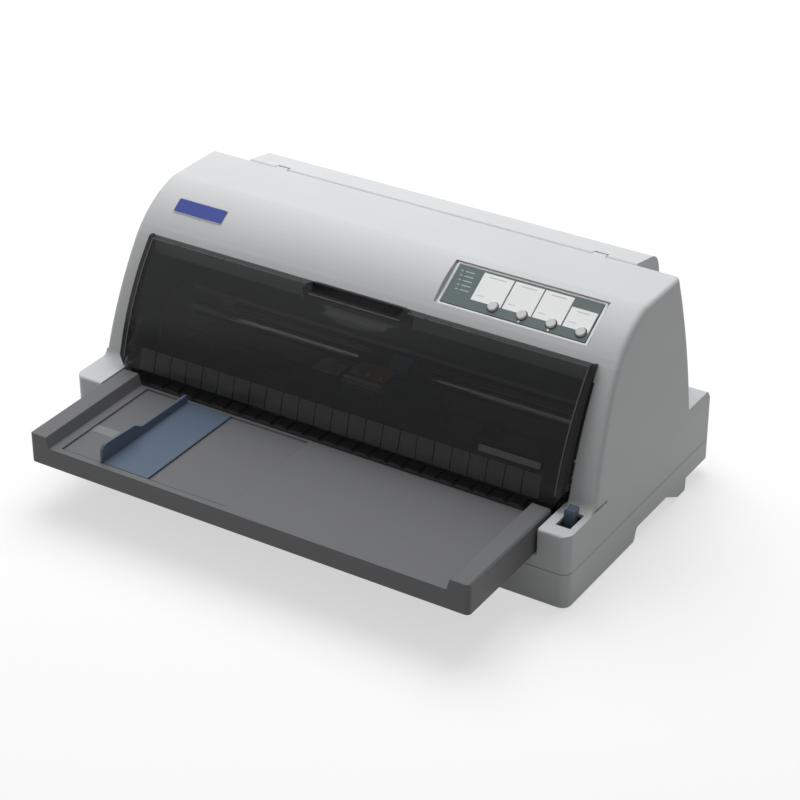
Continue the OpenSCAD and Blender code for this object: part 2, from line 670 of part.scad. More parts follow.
// Front cover: one arc with side cheeks, a top flange and a rounded lip
cover_low = [hood_front_at(cover_low_h) - cover_proud_low, cover_low_h];
cover_top = [hood_front_at(cover_top_h) - cover_proud_top, cover_top_h];
cover_half = norm(cover_top - cover_low) / 2;
cover_dir = (cover_top - cover_low) / (2 * cover_half);
cover_c = (cover_low + cover_top) / 2
    + sqrt(cover_arc_r * cover_arc_r - cover_half * cover_half) * [cover_dir.y, -cover_dir.x];
function angle_of(v) = atan2(v.y, v.x);
function cover_arc(inset) = round_arc(cover_c, cover_arc_r - inset,
    angle_of(cover_low - cover_c), angle_of(cover_top - cover_c), 14);
cheek_gap = 0.8;
lip_in = 5;
module front_cover() color(smoke) difference() {
    intersection() {
        union() {
            along_x(-cover_w / 2, cover_w / 2) union() {
                polygon(concat(cover_arc(0), [for (i = [14:-1:0]) cover_arc(cover_t)[i]]));
                polygon([cover_top, [hood_front_at(cover_top_h - cover_t) - cheek_gap, cover_top_h + 0.5],
                         [hood_front_at(cover_top_h - cover_t) - cheek_gap, cover_top_h - cover_t + 0.5],
                         cover_arc(cover_t)[14] - [0, 0.5]]);
                polygon([cover_low, cover_low + [1.5, -1.6], cover_low + [lip_in, -2],
                         cover_low + [lip_in, 0.2], cover_arc(cover_t)[0] + [0, 0.4]]);
            }
            both_sides() along_x(cover_w / 2 - cover_t, cover_w / 2) union() {
                polygon(concat(cover_arc(0),
                    [for (i = [10:-1:0]) let (z = cover_low_h + 5 + (cover_top_h - cover_low_h - 5) * i / 10)
                        [hood_front_at(z) - cheek_gap, z]]));
                translate([hinge_y, hinge_h]) circle(r = hinge_pin_r + 2, $fn = 32);
            }
        }
        along_y(cover_low.x - 20, cover_top.x + 40) polygon([
            [-cover_w / 2, cover_top_h + 9], [-cover_w / 2, cover_low_h + 8], [-cover_w / 2 + 5, cover_low_h],
            [-cover_w / 2 + 5, cover_low_h - 9], [cover_w / 2 - 5, cover_low_h - 9],
            [cover_w / 2 - 5, cover_low_h], [cover_w / 2, cover_low_h + 8], [cover_w / 2, cover_top_h + 9]]);
    }
    // Finger notch
    along_y(cover_top.x - 20, cover_top.x + 20) polygon([
        [scoop_x - notch_w / 2 - 5, cover_top_h + 9], [scoop_x - notch_w / 2, cover_top_h - notch_deep],
        [scoop_x + notch_w / 2, cover_top_h - notch_deep], [scoop_x + notch_w / 2 + 5, cover_top_h + 9]]);
    both_sides() rod_x(cover_w / 2 - cover_t - 1, cover_w / 2 + 1, hinge_y, hinge_h, hinge_pin_r + slack);
}

// Front tray: floor between two rails, open below
tray_x = tray_w / 2;
tray_back_y = case_front_y + rail_tuck;
rail_slope = 3;
recess_x0 = -tray_x + rail_w + rail_slope + 8;
recess_y0 = tray_front_y + 6;
recess_y1 = tray_back_y - 3;
recess_h = tray_floor_h - recess_deep;
slot_w = 2.2;
function tray_line(d, low) = [
    [-tray_x + d, low], [-tray_x + d, rail_h - 1.5 - d * 0.4], [-tray_x + 1.5 + d * 0.4, rail_h - d],
    [-tray_x + rail_w - d * 0.8, rail_h - d], [-tray_x + rail_w + rail_slope - d * 0.8, tray_floor_h - d],
    [tray_x - rail_w - rail_slope + d * 0.8, tray_floor_h - d], [tray_x - rail_w + d * 0.8, rail_h - d],
    [tray_x - 1.5 - d * 0.4, rail_h - d], [tray_x - d, rail_h - 1.5 - d * 0.4], [tray_x - d, low]];
module tray_plan() polygon(concat(
    round_arc([-tray_x + 4, tray_front_y + 4], 4, 180, 270, 4), round_arc([tray_x - 4, tray_front_y + 4], 4, 270, 360, 4),
    [[tray_x, tray_back_y], [-tray_x, tray_back_y]]));
module front_tray() color(tray_grey) difference() {
    union() {
        difference() {
            intersection() {
                along_y(tray_front_y, tray_back_y) polygon(tray_line(0, tray_low_h));
                along_z(tray_low_h, rail_h + 1) tray_plan();
            }
            along_y(tray_front_y + tray_wall, tray_back_y - tray_wall)
                polygon(tray_line(tray_wall, tray_low_h - 1));
        }
        // Thick floor under the recess, and ribs across the tray
        span([recess_x0 - tray_wall, tray_front_y + 1, recess_h - tray_wall],
             [recess_x0 + recess_w + tray_wall, tray_back_y - 1, tray_floor_h - 0.5]);
        for (x = [20, 95]) span([x - 1, tray_front_y + 1, tray_low_h + 4], [x + 1, tray_back_y - 1, tray_floor_h - 1]);
    }
    span([recess_x0, recess_y0, recess_h], [recess_x0 + recess_w, recess_y1, tray_floor_h + 1]);
    span([recess_x0, recess_y0, tray_low_h + 1], [recess_x0 + recess_w, recess_y0 + slot_w, tray_floor_h + 1]);
}

// Edge guide: plate in the recess, fence on its left edge, hook through the slot
guide_t = 1.5;
guide_low_h = recess_h + nip;
guide_y0 = recess_y0 + 0.4;
guide_y1 = recess_y1 - 0.4;
hump_l = 42;
step_l = 12;
fence_t = 2.5;
module edge_guide() color(guide_blue) {
    span([-fence_x, guide_y0, guide_low_h], [-fence_x + guide_w, guide_y1, guide_low_h + guide_t]);
    along_x(-fence_x - fence_t / 2, -fence_x + fence_t / 2) polygon(concat(
        [[guide_y1, guide_low_h], [guide_y0, guide_low_h]],
        round_arc([guide_y0 + 7, tray_floor_h + hump_h - 7], 7, 180, 90, 6),
        [for (i = [0:6]) [guide_y0 + hump_l + step_l * i / 6,
            tray_floor_h + fence_h + 1 + (hump_h - fence_h - 3) * (1 + cos(30 * i)) / 2]],
        [[guide_y1, tray_floor_h + fence_h]]));
    span([-fence_x + 4, guide_y0, recess_h - tray_wall - 3], [-fence_x + guide_w - 4, guide_y0 + 1.5, guide_low_h + 1]);
    span([-fence_x + 4, guide_y0, recess_h - tray_wall - 3], [-fence_x + guide_w - 4, guide_y0 + 7, recess_h - tray_wall - nip]);
}

// Release lever: hub, arm and fan-shaped grip, leaning back at rest
lever_lean = 6;
grip_w = 8.5;
grip_top = front_block_h - lever_h + 9;
module release_lever() color(guide_blue) translate([0, lever_y, lever_h]) rotate([-lever_lean, 0, 0]) difference() {
    union() {
        rod_x(lever_x - lever_w / 2, lever_x + lever_w / 2, 0, 0, 5.5);
        along_x(lever_x - lever_w / 2, lever_x - lever_w / 2 + grip_w) polygon([
            [-3, 0], [-2.6, grip_top - 16], [-4.2, grip_top - 4.5], [-4, grip_top - 1.5], [-2, grip_top - 2.6],
            [2, grip_top - 2.4], [4.4, grip_top], [5.2, grip_top - 2], [3.2, grip_top - 16], [3, 0]]);
    }
    rod_x(lever_x - lever_w, lever_x + lever_w, 0, 0, lever_pin_r + slack);
}

// Control panel: plate, buttons, lights and the board behind them
module panel_plate() color([0.30, 0.36, 0.35]) difference() {
    on_panel() span([-panel_w / 2, -panel_l / 2, -panel_deep], [panel_w / 2, panel_l / 2, plate_t - panel_deep]);
    for (i = [0:3]) at_button(i) translate([0, 0, -10]) cylinder(r = button_r + 0.25, h = 20, $fn = 40);
    for (i = [1, 2]) at_button(i) translate([0, button_drop - light_drop, -10]) cylinder(r = 1.15, h = 20, $fn = 24);
}
module push_button(i) color([0.80, 0.81, 0.81]) at_button(i) {
    translate([0, 0, -panel_deep - 0.1 - collar_t]) cylinder(r = button_r + 0.5, h = collar_t, $fn = 40);
    translate([0, 0, -panel_deep - 1]) cylinder(r = button_r, h = plate_t + cap_rise + 0.4, $fn = 40);
    translate([0, 0, plate_t - panel_deep + cap_rise - 0.6]) cylinder(r1 = button_r, r2 = button_r - 0.6, h = 0.6, $fn = 40);
}
module pause_button() push_button(0);
module load_button() push_button(1);
module feed_button() push_button(2);
module font_button() push_button(3);
module panel_board() color([0.16, 0.36, 0.22]) {
    on_panel() span([-56, -22, -panel_board_drop - board_t], [64.5, 10, -panel_board_drop]);
    // Switch under each button
    for (i = [0:3]) at_button(i) translate([-3, -3, -panel_board_drop])
        cube([6, 6, panel_board_drop - panel_deep - collar_t - button_travel - 0.2]);
}
module indicator_lights() color([0.85, 0.25, 0.15]) for (i = [1, 2]) at_button(i)
    translate([0, button_drop - light_drop, -panel_board_drop]) cylinder(r = 1, h = panel_board_drop - panel_deep + plate_t + 0.2, $fn = 24);

// Side frames of sheet steel, with the gear pins on the right one
frame_front_y = front_feed_y - 16;
frame_back_y = hood_back_y - 6;
frame_top_h = 117;
frame_low_h = floor_h;
bush_r = shaft_r + 2;
pinch_shaft_r = 2;
gear_pin_r = 3;
gear_x0 = frame_x + 0.8;
gear_x1 = gear_x0 + gear_w;
module side_plate() along_x(frame_in_x, frame_x) difference() {
    polygon([[frame_front_y, frame_low_h], [low_end_y - 6, frame_low_h], [low_end_y - 2, rear_floor_h + 1],
             [frame_back_y, rear_floor_h + 1], [frame_back_y, frame_top_h - 8], [frame_back_y - 8, frame_top_h],
             [print_y + 12, frame_top_h], [print_y - 10, frame_top_h - 20], [print_y - 14, pinch_h + 8],
             [front_feed_y + 1, pinch_h + 4.5], [front_feed_y - 4, pinch_h - 1],
             [front_feed_y - 4, paper_h - 1.8], [frame_front_y, paper_h - 3.2]]);
    for (y = [front_feed_y, rear_feed_y]) {
        translate([y, feed_h]) circle(r = bush_r + slack, $fn = 48);
        translate([y, pinch_h]) circle(r = pinch_shaft_r + slack, $fn = 32);
    }
    translate([guide_y, guide_h]) circle(r = guide_r + slack, $fn = 48);
    translate([pinion_y, feed_motor_h]) circle(r = 6, $fn = 48);
    // Lightening holes
    translate([guide_y + 36, 92]) circle(r = 10, $fn = 48);
    translate([guide_y + 36, 38]) circle(r = 9, $fn = 48);
}
module left_side_frame() color(steel) mirror([1, 0, 0]) side_plate();
module right_side_frame() color(steel) {
    side_plate();
    rod_x(frame_x - 0.2, gear_x1 + 0.5, idler_y, idler_h, gear_pin_r);
    for (c = transfer_c) rod_x(frame_x - 0.2, gear_x1 + 0.5, c.x, c.y, gear_pin_r);
}
module base_plate() color(steel) difference() {
    span([-frame_in_x, frame_front_y, frame_low_h], [frame_in_x, low_end_y - 6, frame_low_h + sheet_t]);
    for (x = [-150:60:150]) translate([x, print_y - 8, 0]) cylinder(r = 12, h = 20, $fn = 48);
}
module guide_shaft() color([0.78, 0.79, 0.80]) rod_x(-frame_x - 2, frame_x + 2, guide_y, guide_h, guide_r);
module shaft_bushes() color(black) both_sides() for (y = [front_feed_y, rear_feed_y]) difference() {
    union() {
        rod_x(frame_in_x, frame_x + 0.6, y, feed_h, bush_r);
        rod_x(frame_x, frame_x + 0.6, y, feed_h, bush_r + 1.5);
    }
    rod_x(frame_in_x - 2, frame_x + 3, y, feed_h, shaft_r + slack);
}

// Platen bar and the ribbed paper guides before and behind it
platen_w = 18;
module platen() color([0.20, 0.20, 0.21]) along_x(-frame_in_x, frame_in_x) polygon(concat(
    [[print_y - platen_w / 2, paper_h - 11]], round_arc([print_y - platen_w / 2 + 3, paper_h - 3.6], 3, 180, 90, 4),
    round_arc([print_y + platen_w / 2 - 3, paper_h - 3.6], 3, 90, 0, 4), [[print_y + platen_w / 2, paper_h - 11]]));
sheet_guide_h = paper_h - 1.6;
guide_sheet_t = 1.5;
rib_pitch = 16;
rib_w = 12;
function roller_x() = [for (i = [-3:3]) i * roller_pitch];
module roller_windows(y) for (x = roller_x())
    span([x - roller_l / 2 - 2, y - feed_r - 1.5, sheet_guide_h - 5], [x + roller_l / 2 + 2, y + feed_r + 1.5, paper_h + 2]);
module front_paper_guide() color(black) difference() {
    union() {
        span([-frame_in_x + 0.1, tray_back_y + 0.4, sheet_guide_h - guide_sheet_t],
             [frame_in_x - 0.1, print_y - platen_w / 2 - 0.5, sheet_guide_h]);
        span([-frame_in_x + 0.1, hood_y - wall, sill_h], [frame_in_x - 0.1, hood_y - 0.1, sheet_guide_h - 1]);
        for (i = [-11:11]) span([i * rib_pitch - rib_w / 2, tray_back_y + 2, sheet_guide_h - 1],
                                [i * rib_pitch + rib_w / 2, front_feed_y - feed_r - 4, sheet_guide_h + 0.9]);
    }
    roller_windows(front_feed_y);
}
trough_h = apron_h + 0.3;
trough_y0 = hood_back_y - 1;
trough_y1 = nose_y + 11;
trough_x = gear_x0 - 0.6;
module rear_paper_guide() color(black) {
    difference() {
        span([-frame_in_x + 0.1, print_y + platen_w / 2 + 0.5, sheet_guide_h - guide_sheet_t],
             [frame_in_x - 0.1, trough_y0 + guide_sheet_t, sheet_guide_h]);
        roller_windows(rear_feed_y);
    }
    along_x(-trough_x, trough_x) polygon([
        [trough_y0, sheet_guide_h - 0.5], [trough_y0, trough_h], [trough_y1, trough_h],
        [trough_y1, sheet_guide_h - guide_sheet_t - 0.5], [guide_back_y, sheet_guide_h - guide_sheet_t - 0.5],
        [guide_back_y, sheet_guide_h - 0.5], [trough_y1 - guide_sheet_t, sheet_guide_h - 0.5],
        [trough_y1 - guide_sheet_t, trough_h + guide_sheet_t], [trough_y0 + guide_sheet_t, trough_h + guide_sheet_t],
        [trough_y0 + guide_sheet_t, sheet_guide_h - 0.5]]);
}

// Carriage rail: bent sheet with a top flange and a lower lip
rail_y = guide_y + 26;
rail_t = 1.5;
rail_top_h = pulley_h + 14;
rail_low_h = guide_h - 8;
rail_front_y = print_y + 30;
motor_x = 178;
module carriage_rail() color(steel) {
    rod_y(motor_x, belt_y - pulley_w / 2 - 1.5, rail_y + 0.5, pulley_h, gear_pin_r);
    difference() {
        rail_sheet();
        rod_y(-motor_x, rail_y - 1, rail_y + 4, pulley_h, 6);
    }
}
module rail_sheet()
    along_x(-frame_in_x, frame_in_x) polygon([
        [rail_front_y, rail_top_h - rail_t], [rail_front_y, rail_top_h], [rail_y + rail_t, rail_top_h],
        [rail_y + rail_t, rail_low_h], [rail_y - 8, rail_low_h], [rail_y - 8, rail_low_h + rail_t],
        [rail_y, rail_low_h + rail_t], [rail_y, rail_top_h - rail_t]]);

// Belt drive: motor behind the rail, pulleys and belt in front of it
belt_t = 1.2;
belt_y = rail_y - 14;
pulley_w = belt_w + 1;
motor_r = 21;
motor_l = 30;
motor_shaft_r = 2.5;
module carriage_motor() color(black) difference() {
    union() {
        rod_y(-motor_x, rail_y + rail_t, rail_y + rail_t + motor_l, pulley_h, motor_r - 2);
        translate([-motor_x - 20, rail_y + rail_t, pulley_h - 14]) cube([40, 2, 28]);
    }
    rod_y(-motor_x, rail_y, rail_y + 14, pulley_h, motor_shaft_r + slack);
}
module pulley_body(x) {
    rod_y(x, belt_y - pulley_w / 2, belt_y + pulley_w / 2, pulley_h, pulley_r - belt_t / 2 - 0.1);
    for (y = [belt_y - pulley_w / 2 - 1, belt_y + pulley_w / 2]) rod_y(x, y, y + 1, pulley_h, pulley_r + 1.2);
}
module drive_pulley() color(gear_white) {
    pulley_body(-motor_x);
    rod_y(-motor_x, belt_y + pulley_w / 2, rail_y + rail_t + 11, pulley_h, motor_shaft_r);
}
module idler_pulley() color(gear_white) difference() {
    pulley_body(motor_x);
    rod_y(motor_x, belt_y - 10, belt_y + 10, pulley_h, gear_pin_r + slack);
}
module belt_loop(r) hull() for (s = [-1, 1]) translate([s * motor_x, pulley_h]) circle(r = r, $fn = 48);
module timing_belt() color(rubber) along_y(belt_y - belt_w / 2, belt_y + belt_w / 2) difference() {
    belt_loop(pulley_r + belt_t / 2);
    belt_loop(pulley_r - belt_t / 2);
}

// Carriage: saddle on the guide shaft, front plate for the head, fork on the rail's lip
saddle_w = 52;
plate_y = print_y + 20;
module carriage() color(black) translate([head_x, 0, 0]) difference() {
    union() {
        span([-saddle_w / 2, guide_y - 10, guide_h - 10], [saddle_w / 2, guide_y + 8.5, guide_h + 10]);
        span([-saddle_w / 2, plate_y, guide_h - 10], [saddle_w / 2, plate_y + 5, head_top_h + 3]);
        for (x = [-saddle_w / 2, saddle_w / 2 - 4])
            span([x, plate_y + 4, guide_h - 8], [x + 4, guide_y - 9, guide_h + 8]);
        // Belt clamp and fork
        span([-9, guide_y + 8, guide_h - 4], [9, belt_y + belt_w / 2 + 2, guide_h + 10]);
        span([-6, guide_y + 8, rail_low_h - 4], [6, rail_y - 9, guide_h - 3]);
        span([-6, rail_y - 9.5, rail_low_h + rail_t + slack], [6, rail_y - 1.5, rail_low_h + rail_t + 3]);
        span([-6, rail_y - 9.5, rail_low_h - 4], [6, rail_y - 1.5, rail_low_h - slack]);
        // Shelf that carries the ribbon cartridge
        for (s = [-1, 1]) span([s * 40 - 16, plate_y - 4, guide_h - 10], [s * 40 + 16, plate_y + 5, guide_h - 7]);
    }
    rod_x(-saddle_w, saddle_w, guide_y, guide_h, guide_r + slack);
    span([-10, belt_y - belt_w / 2 - nip, pulley_h - pulley_r - belt_t / 2 - nip],
         [10, belt_y + belt_w / 2 + 4, pulley_h - pulley_r + belt_t / 2 + nip]);
}

// Print head: finned body, nose over the platen, plate on top
head_w = 38;
fin_count = 7;
nose_gap = 0.9;
module print_head() color([0.55, 0.56, 0.57]) translate([head_x, print_y, 0]) {
    along_x(-9, 9) polygon([[-5, paper_h + nose_gap], [5, paper_h + nose_gap], [10, guide_h - 6], [-10, guide_h - 6]]);
    span([-head_w / 2 + 4, -12, guide_h - 7], [head_w / 2 - 4, plate_y - print_y, head_top_h - 3]);
    for (i = [0:fin_count - 1]) let (z = guide_h - 6 + i * (head_top_h - guide_h + 2) / (fin_count - 1))
        span([-head_w / 2, -17, z], [head_w / 2, plate_y - print_y, z + 1.2]);
    span([-head_w / 2 + 2, -15, head_top_h - 3.2], [head_w / 2 - 2, 14, head_top_h - 0.5]);
}
module head_cable() color([0.55, 0.66, 0.78]) translate([head_x, 0, 0])
    along_x(8, 26) polygon(concat(
        [[print_y + 14.2, head_top_h - 2.8]], round_arc([print_y + 23, head_top_h + 1], 8.8, 180, 0, 8),
        [[print_y + 31.8, guide_h + 10], [print_y + 31, guide_h + 10]],
        round_arc([print_y + 23, head_top_h + 1], 8, 0, 180, 8), [[print_y + 15, head_top_h - 2.8]]));

// Ribbon cartridge: thin box round the head with two arms that dip to the paper
cartridge_x = 58;
cartridge_h = guide_h - 7;
cartridge_t = 13;
ribbon_h = paper_h + 0.75;
module ribbon_cartridge() color([0.30, 0.31, 0.32]) translate([head_x, print_y, 0]) difference() {
    union() {
        span([-cartridge_x, -27, cartridge_h], [cartridge_x, 19, cartridge_h + cartridge_t]);
        for (s = [-1, 1]) along_x(s * 30 - 4, s * 30 + 4) polygon([
            [-8, cartridge_h + 1], [-6, ribbon_h], [6, ribbon_h], [8, cartridge_h + 1]]);
        translate([-40, -4, cartridge_h + cartridge_t - 1]) cylinder(r = 8, h = 4, $fn = 40);
    }
    span([-head_w / 2 - 2, -19, 0], [head_w / 2 + 2, 40, guide_h * 2]);
}
module ribbon() color([0.08, 0.08, 0.10]) translate([head_x, print_y, 0])
    span([-34, -5, ribbon_h - 0.25], [34, 5, ribbon_h]);

// Gear train on the outer face of the right side frame
tooth_high = 0.8;
tooth_deep = 1.1;
backlash = 0.06;
pressure_a = 20;
pinion_a = 190.8;
idler_y = (front_feed_y + rear_feed_y) / 2;
feed_link = (feed_teeth + idler_teeth) / 2 * gear_module;
idler_h = feed_h - sqrt(feed_link * feed_link - pow((rear_feed_y - front_feed_y) / 2, 2));
pinion_link = (pinion_teeth + idler_teeth) / 2 * gear_module;
pinion_y = idler_y + pinion_link * cos(pinion_a);
feed_motor_h = idler_h + pinion_link * sin(pinion_a);
first_y = rear_feed_y + (feed_teeth + transfer_teeth) / 2 * gear_module;
third_y = tractor_y - (transfer_teeth + tractor_teeth) / 2 * gear_module;
mid_rise = sqrt(pow(transfer_teeth * gear_module, 2) - pow((third_y - first_y) / 2, 2));
transfer_c = [[first_y, feed_h], [(first_y + third_y) / 2, feed_h + mid_rise], [third_y, feed_h]];

function inv(a) = tan(a) * 180 / PI - a;
function tooth_half(n, r) = let (rp = n * gear_module / 2, rb = rp * cos(pressure_a))
    90 / n - backlash / rp * 90 / PI + inv(pressure_a) - (r > rb ? inv(acos(rb / r)) : 0);
module gear_plan(n, phase) let (
    rp = n * gear_module / 2,
    radii = [rp - tooth_deep, rp - 0.35, rp + 0.25, rp + tooth_high]
) polygon([for (i = [0:n - 1]) for (k = [0:7]) let (
    r = radii[k < 4 ? k : 7 - k],
    a = phase + 360 * i / n + (k < 4 ? -1 : 1) * tooth_half(n, r)) r * [cos(a), sin(a)]]);
module gear(n, c, phase) along_x(gear_x0, gear_x1) translate(c) gear_plan(n, phase);
// Phase of a gear that meshes with another one standing in a given direction
function meshed(phase, na, nb, towards) = towards + 180 + 180 / nb - (phase - towards) * na / nb;
function direction(a, b) = atan2(b.y - a.y, b.x - a.x);
front_c = [front_feed_y, feed_h];
rear_c = [rear_feed_y, feed_h];
idler_c = [idler_y, idler_h];
pinion_c = [pinion_y, feed_motor_h];
tractor_c = [tractor_y, feed_h];
idler_phase = meshed(0, feed_teeth, idler_teeth, direction(front_c, idler_c));
rear_phase = meshed(idler_phase, idler_teeth, feed_teeth, direction(idler_c, rear_c));
pinion_phase = meshed(idler_phase, idler_teeth, pinion_teeth, pinion_a);
first_phase = meshed(rear_phase, feed_teeth, transfer_teeth, 0);
second_phase = meshed(first_phase, transfer_teeth, transfer_teeth, direction(transfer_c[0], transfer_c[1]));
third_phase = meshed(second_phase, transfer_teeth, transfer_teeth, direction(transfer_c[1], transfer_c[2]));
tractor_phase = meshed(third_phase, transfer_teeth, tractor_teeth, 0);
transfer_phase = [first_phase, second_phase, third_phase];

feed_motor_r = 17.5;
feed_motor_l = 37;
module feed_motor() color(black) difference() {
    union() {
        rod_x(frame_in_x - feed_motor_l, frame_in_x - 0.1, pinion_y, feed_motor_h, feed_motor_r);
        rod_x(frame_in_x - 3, frame_in_x + 1, pinion_y, feed_motor_h, 5.5);
    }
    rod_x(frame_in_x - 14, frame_in_x + 4, pinion_y, feed_motor_h, motor_shaft_r + slack);
}
module feed_pinion() color(steel) {
    gear(pinion_teeth, pinion_c, pinion_phase);
    rod_x(frame_in_x - 13, gear_x1, pinion_y, feed_motor_h, motor_shaft_r);
}
module free_gear(n, c, phase) difference() {
    gear(n, c, phase);
    rod_x(gear_x0 - 1, gear_x1 + 1, c.x, c.y, gear_pin_r + slack);
    // Web between hub and rim
    rod_x(gear_x1 - 1.5, gear_x1 + 1, c.x, c.y, n * gear_module / 2 - 3);
}
module idler_gear() color(gear_white) {
    free_gear(idler_teeth, idler_c, idler_phase);
    gear_hub(idler_c);
}
module gear_hub(c) difference() {
    rod_x(gear_x0 + 1, gear_x1, c.x, c.y, gear_pin_r + 2);
    rod_x(gear_x0 - 1, gear_x1 + 1, c.x, c.y, gear_pin_r + slack);
}
module transfer_gear(i) {
    free_gear(transfer_teeth, transfer_c[i], transfer_phase[i]);
    gear_hub(transfer_c[i]);
}
module transfer_gear_1() color(gear_white) transfer_gear(0);
module transfer_gear_2() color(gear_white) transfer_gear(1);
module transfer_gear_3() color(gear_white) transfer_gear(2);

// Feed rollers under the paper and pinch rollers above it
module feed_roller(c, phase) {
    rod_x(-frame_x - 4, gear_x1, c.x, c.y, shaft_r);
    gear(feed_teeth, c, phase);
    for (x = roller_x()) rod_x(x - roller_l / 2, x + roller_l / 2, c.x, c.y, feed_r - nip / 2);
}
module front_feed_roller() color([0.30, 0.31, 0.32]) feed_roller(front_c, 0);
module rear_feed_roller() color([0.30, 0.31, 0.32]) feed_roller(rear_c, rear_phase);
module pinch_rollers(y) {
    rod_x(-frame_x - 1.5, frame_x + 0.5, y, pinch_h, pinch_shaft_r);
    for (x = roller_x()) rod_x(x - roller_l / 2 + 1, x + roller_l / 2 - 1, y, pinch_h, pinch_r);
}
module front_pinch_rollers() color([0.45, 0.46, 0.47]) pinch_rollers(front_feed_y);
module rear_pinch_rollers() color([0.45, 0.46, 0.47]) pinch_rollers(rear_feed_y);

// Tractors: each rides on a square drive shaft and a round guide shaft
tractor_rod_r = 3;
square_w = 7;
journal_r = 5.9;
cheek_in = pin_belt_w / 2 + 0.4;
cheek_t = 2.6;
belt_half_t = 0.6;
pin_l = 2.7;
flap_x = cheek_in + cheek_t + 3.5;
flap_h = paper_h + 4;
flap_r = 2;
flap_pin_r = 1;
module tractor_drive_shaft() color([0.70, 0.71, 0.72]) {
    both_sides() rod_x(frame_x - 1, block_x + wall, tractor_y, feed_h, shaft_r);
    span([-frame_x, tractor_y - square_w / 2, feed_h - square_w / 2],
         [gear_x0 + 0.1, tractor_y + square_w / 2, feed_h + square_w / 2]);
    gear(tractor_teeth, tractor_c, tractor_phase);
}
module tractor_guide_shaft() color([0.78, 0.79, 0.80])
    rod_x(-block_x - wall, block_x + wall, nose_y, feed_h, tractor_rod_r);
module at_tractor(x, side) translate([x, 0, 0]) mirror([side < 0 ? 1 : 0, 0, 0]) children();
module tractor_cheek(x0, x1, r) along_x(x0, x1) polygon(concat(
    round_arc([tractor_y, feed_h], r, 270, 90, 12), round_arc([nose_y, feed_h], r, 90, -90, 12)));
module tractor_body() difference() {
    union() {
        tractor_cheek(cheek_in, cheek_in + cheek_t, sprocket_r + 0.4);
        tractor_cheek(-cheek_in - 1.4, -cheek_in, sprocket_r - 0.2);
        rod_x(-cheek_in - 0.5, cheek_in + 0.5, nose_y, feed_h, sprocket_r - belt_half_t - 0.05);
        span([-cheek_in - 0.5, tractor_y + 7.2, feed_h - 4], [cheek_in + 0.5, nose_y - 2, feed_h + 4]);
        // Outer block with the flap's two hinge lugs
        span([cheek_in + cheek_t - 0.5, tractor_y + 8, feed_h - 5], [flap_x + 2.5, nose_y + 5, feed_h + 5]);
        for (y = [tractor_y - 3, nose_y + 1]) {
            span([cheek_in + cheek_t - 0.5, y, feed_h + 4], [flap_x + 2.5, y + 3, flap_h]);
            rod_y(flap_x, y, y + 3, flap_h, 2.5);
        }
        span([cheek_in, tractor_y - 3, feed_h + 4], [cheek_in + cheek_t, nose_y + 4, feed_h + sprocket_r]);
    }
    rod_x(-20, 20, tractor_y, feed_h, journal_r + slack);
    rod_x(-20, 20, nose_y, feed_h, tractor_rod_r + slack);
    rod_y(flap_x, tractor_y - 5, nose_y + 6, flap_h, flap_pin_r + slack);
}
module tractor_flap() difference() {
    union() {
        span([-9, tractor_y + 0.4, paper_h + 1], [flap_x, nose_y + 0.6, paper_h + 3.5]);
        rod_y(flap_x, tractor_y + 0.4, nose_y + 0.6, flap_h, flap_r);
        rod_y(flap_x, tractor_y - 2, nose_y + 3, flap_h, flap_pin_r);
        // Thumb grip on the free edge
        span([-11, (tractor_y + nose_y) / 2 - 5, paper_h + 2.3], [-8, (tractor_y + nose_y) / 2 + 5, paper_h + 5.5]);
    }
    span([-2, tractor_y - 1, paper_h], [2, nose_y + 1, paper_h + 2.2]);
}
module sprocket() difference() {
    union() {
        rod_x(-pin_belt_w / 2, pin_belt_w / 2, tractor_y, feed_h, sprocket_r - belt_half_t - 0.3);
        rod_x(-cheek_in - 1.4, cheek_in + cheek_t, tractor_y, feed_h, journal_r);
    }
    span([-20, tractor_y - square_w / 2 - 0.1, feed_h - square_w / 2 - 0.1],
         [20, tractor_y + square_w / 2 + 0.1, feed_h + square_w / 2 + 0.1]);
}
module pin_loop(r) hull() for (y = [tractor_y, nose_y]) translate([y, feed_h]) circle(r = r, $fn = 48);
module pin_belt() {
    along_x(-pin_belt_w / 2, pin_belt_w / 2) difference() {
        pin_loop(sprocket_r + belt_half_t);
        pin_loop(sprocket_r - belt_half_t);
    }
    for (i = [0:1]) for (s = [-1, 1])
        let (y = (tractor_y + nose_y) / 2 + (i - 0.5) * pin_pitch)
            rod_z(0, y, feed_h + (s > 0 ? sprocket_r : -sprocket_r - pin_l),
                  feed_h + (s > 0 ? sprocket_r + pin_l : -sprocket_r), 1.6);
}
module left_tractor() color([0.33, 0.35, 0.38]) at_tractor(-left_pins_x, -1) tractor_body();
module right_tractor() color([0.33, 0.35, 0.38]) at_tractor(right_pins_x, 1) tractor_body();
module left_tractor_flap() color([0.42, 0.45, 0.48]) at_tractor(-left_pins_x, -1) tractor_flap();
module right_tractor_flap() color([0.42, 0.45, 0.48]) at_tractor(right_pins_x, 1) tractor_flap();
module left_sprocket() color(gear_white) at_tractor(-left_pins_x, -1) sprocket();
module right_sprocket() color(gear_white) at_tractor(right_pins_x, 1) sprocket();
module left_pin_belt() color(black) at_tractor(-left_pins_x, -1) pin_belt();
module right_pin_belt() color(black) at_tractor(right_pins_x, 1) pin_belt();

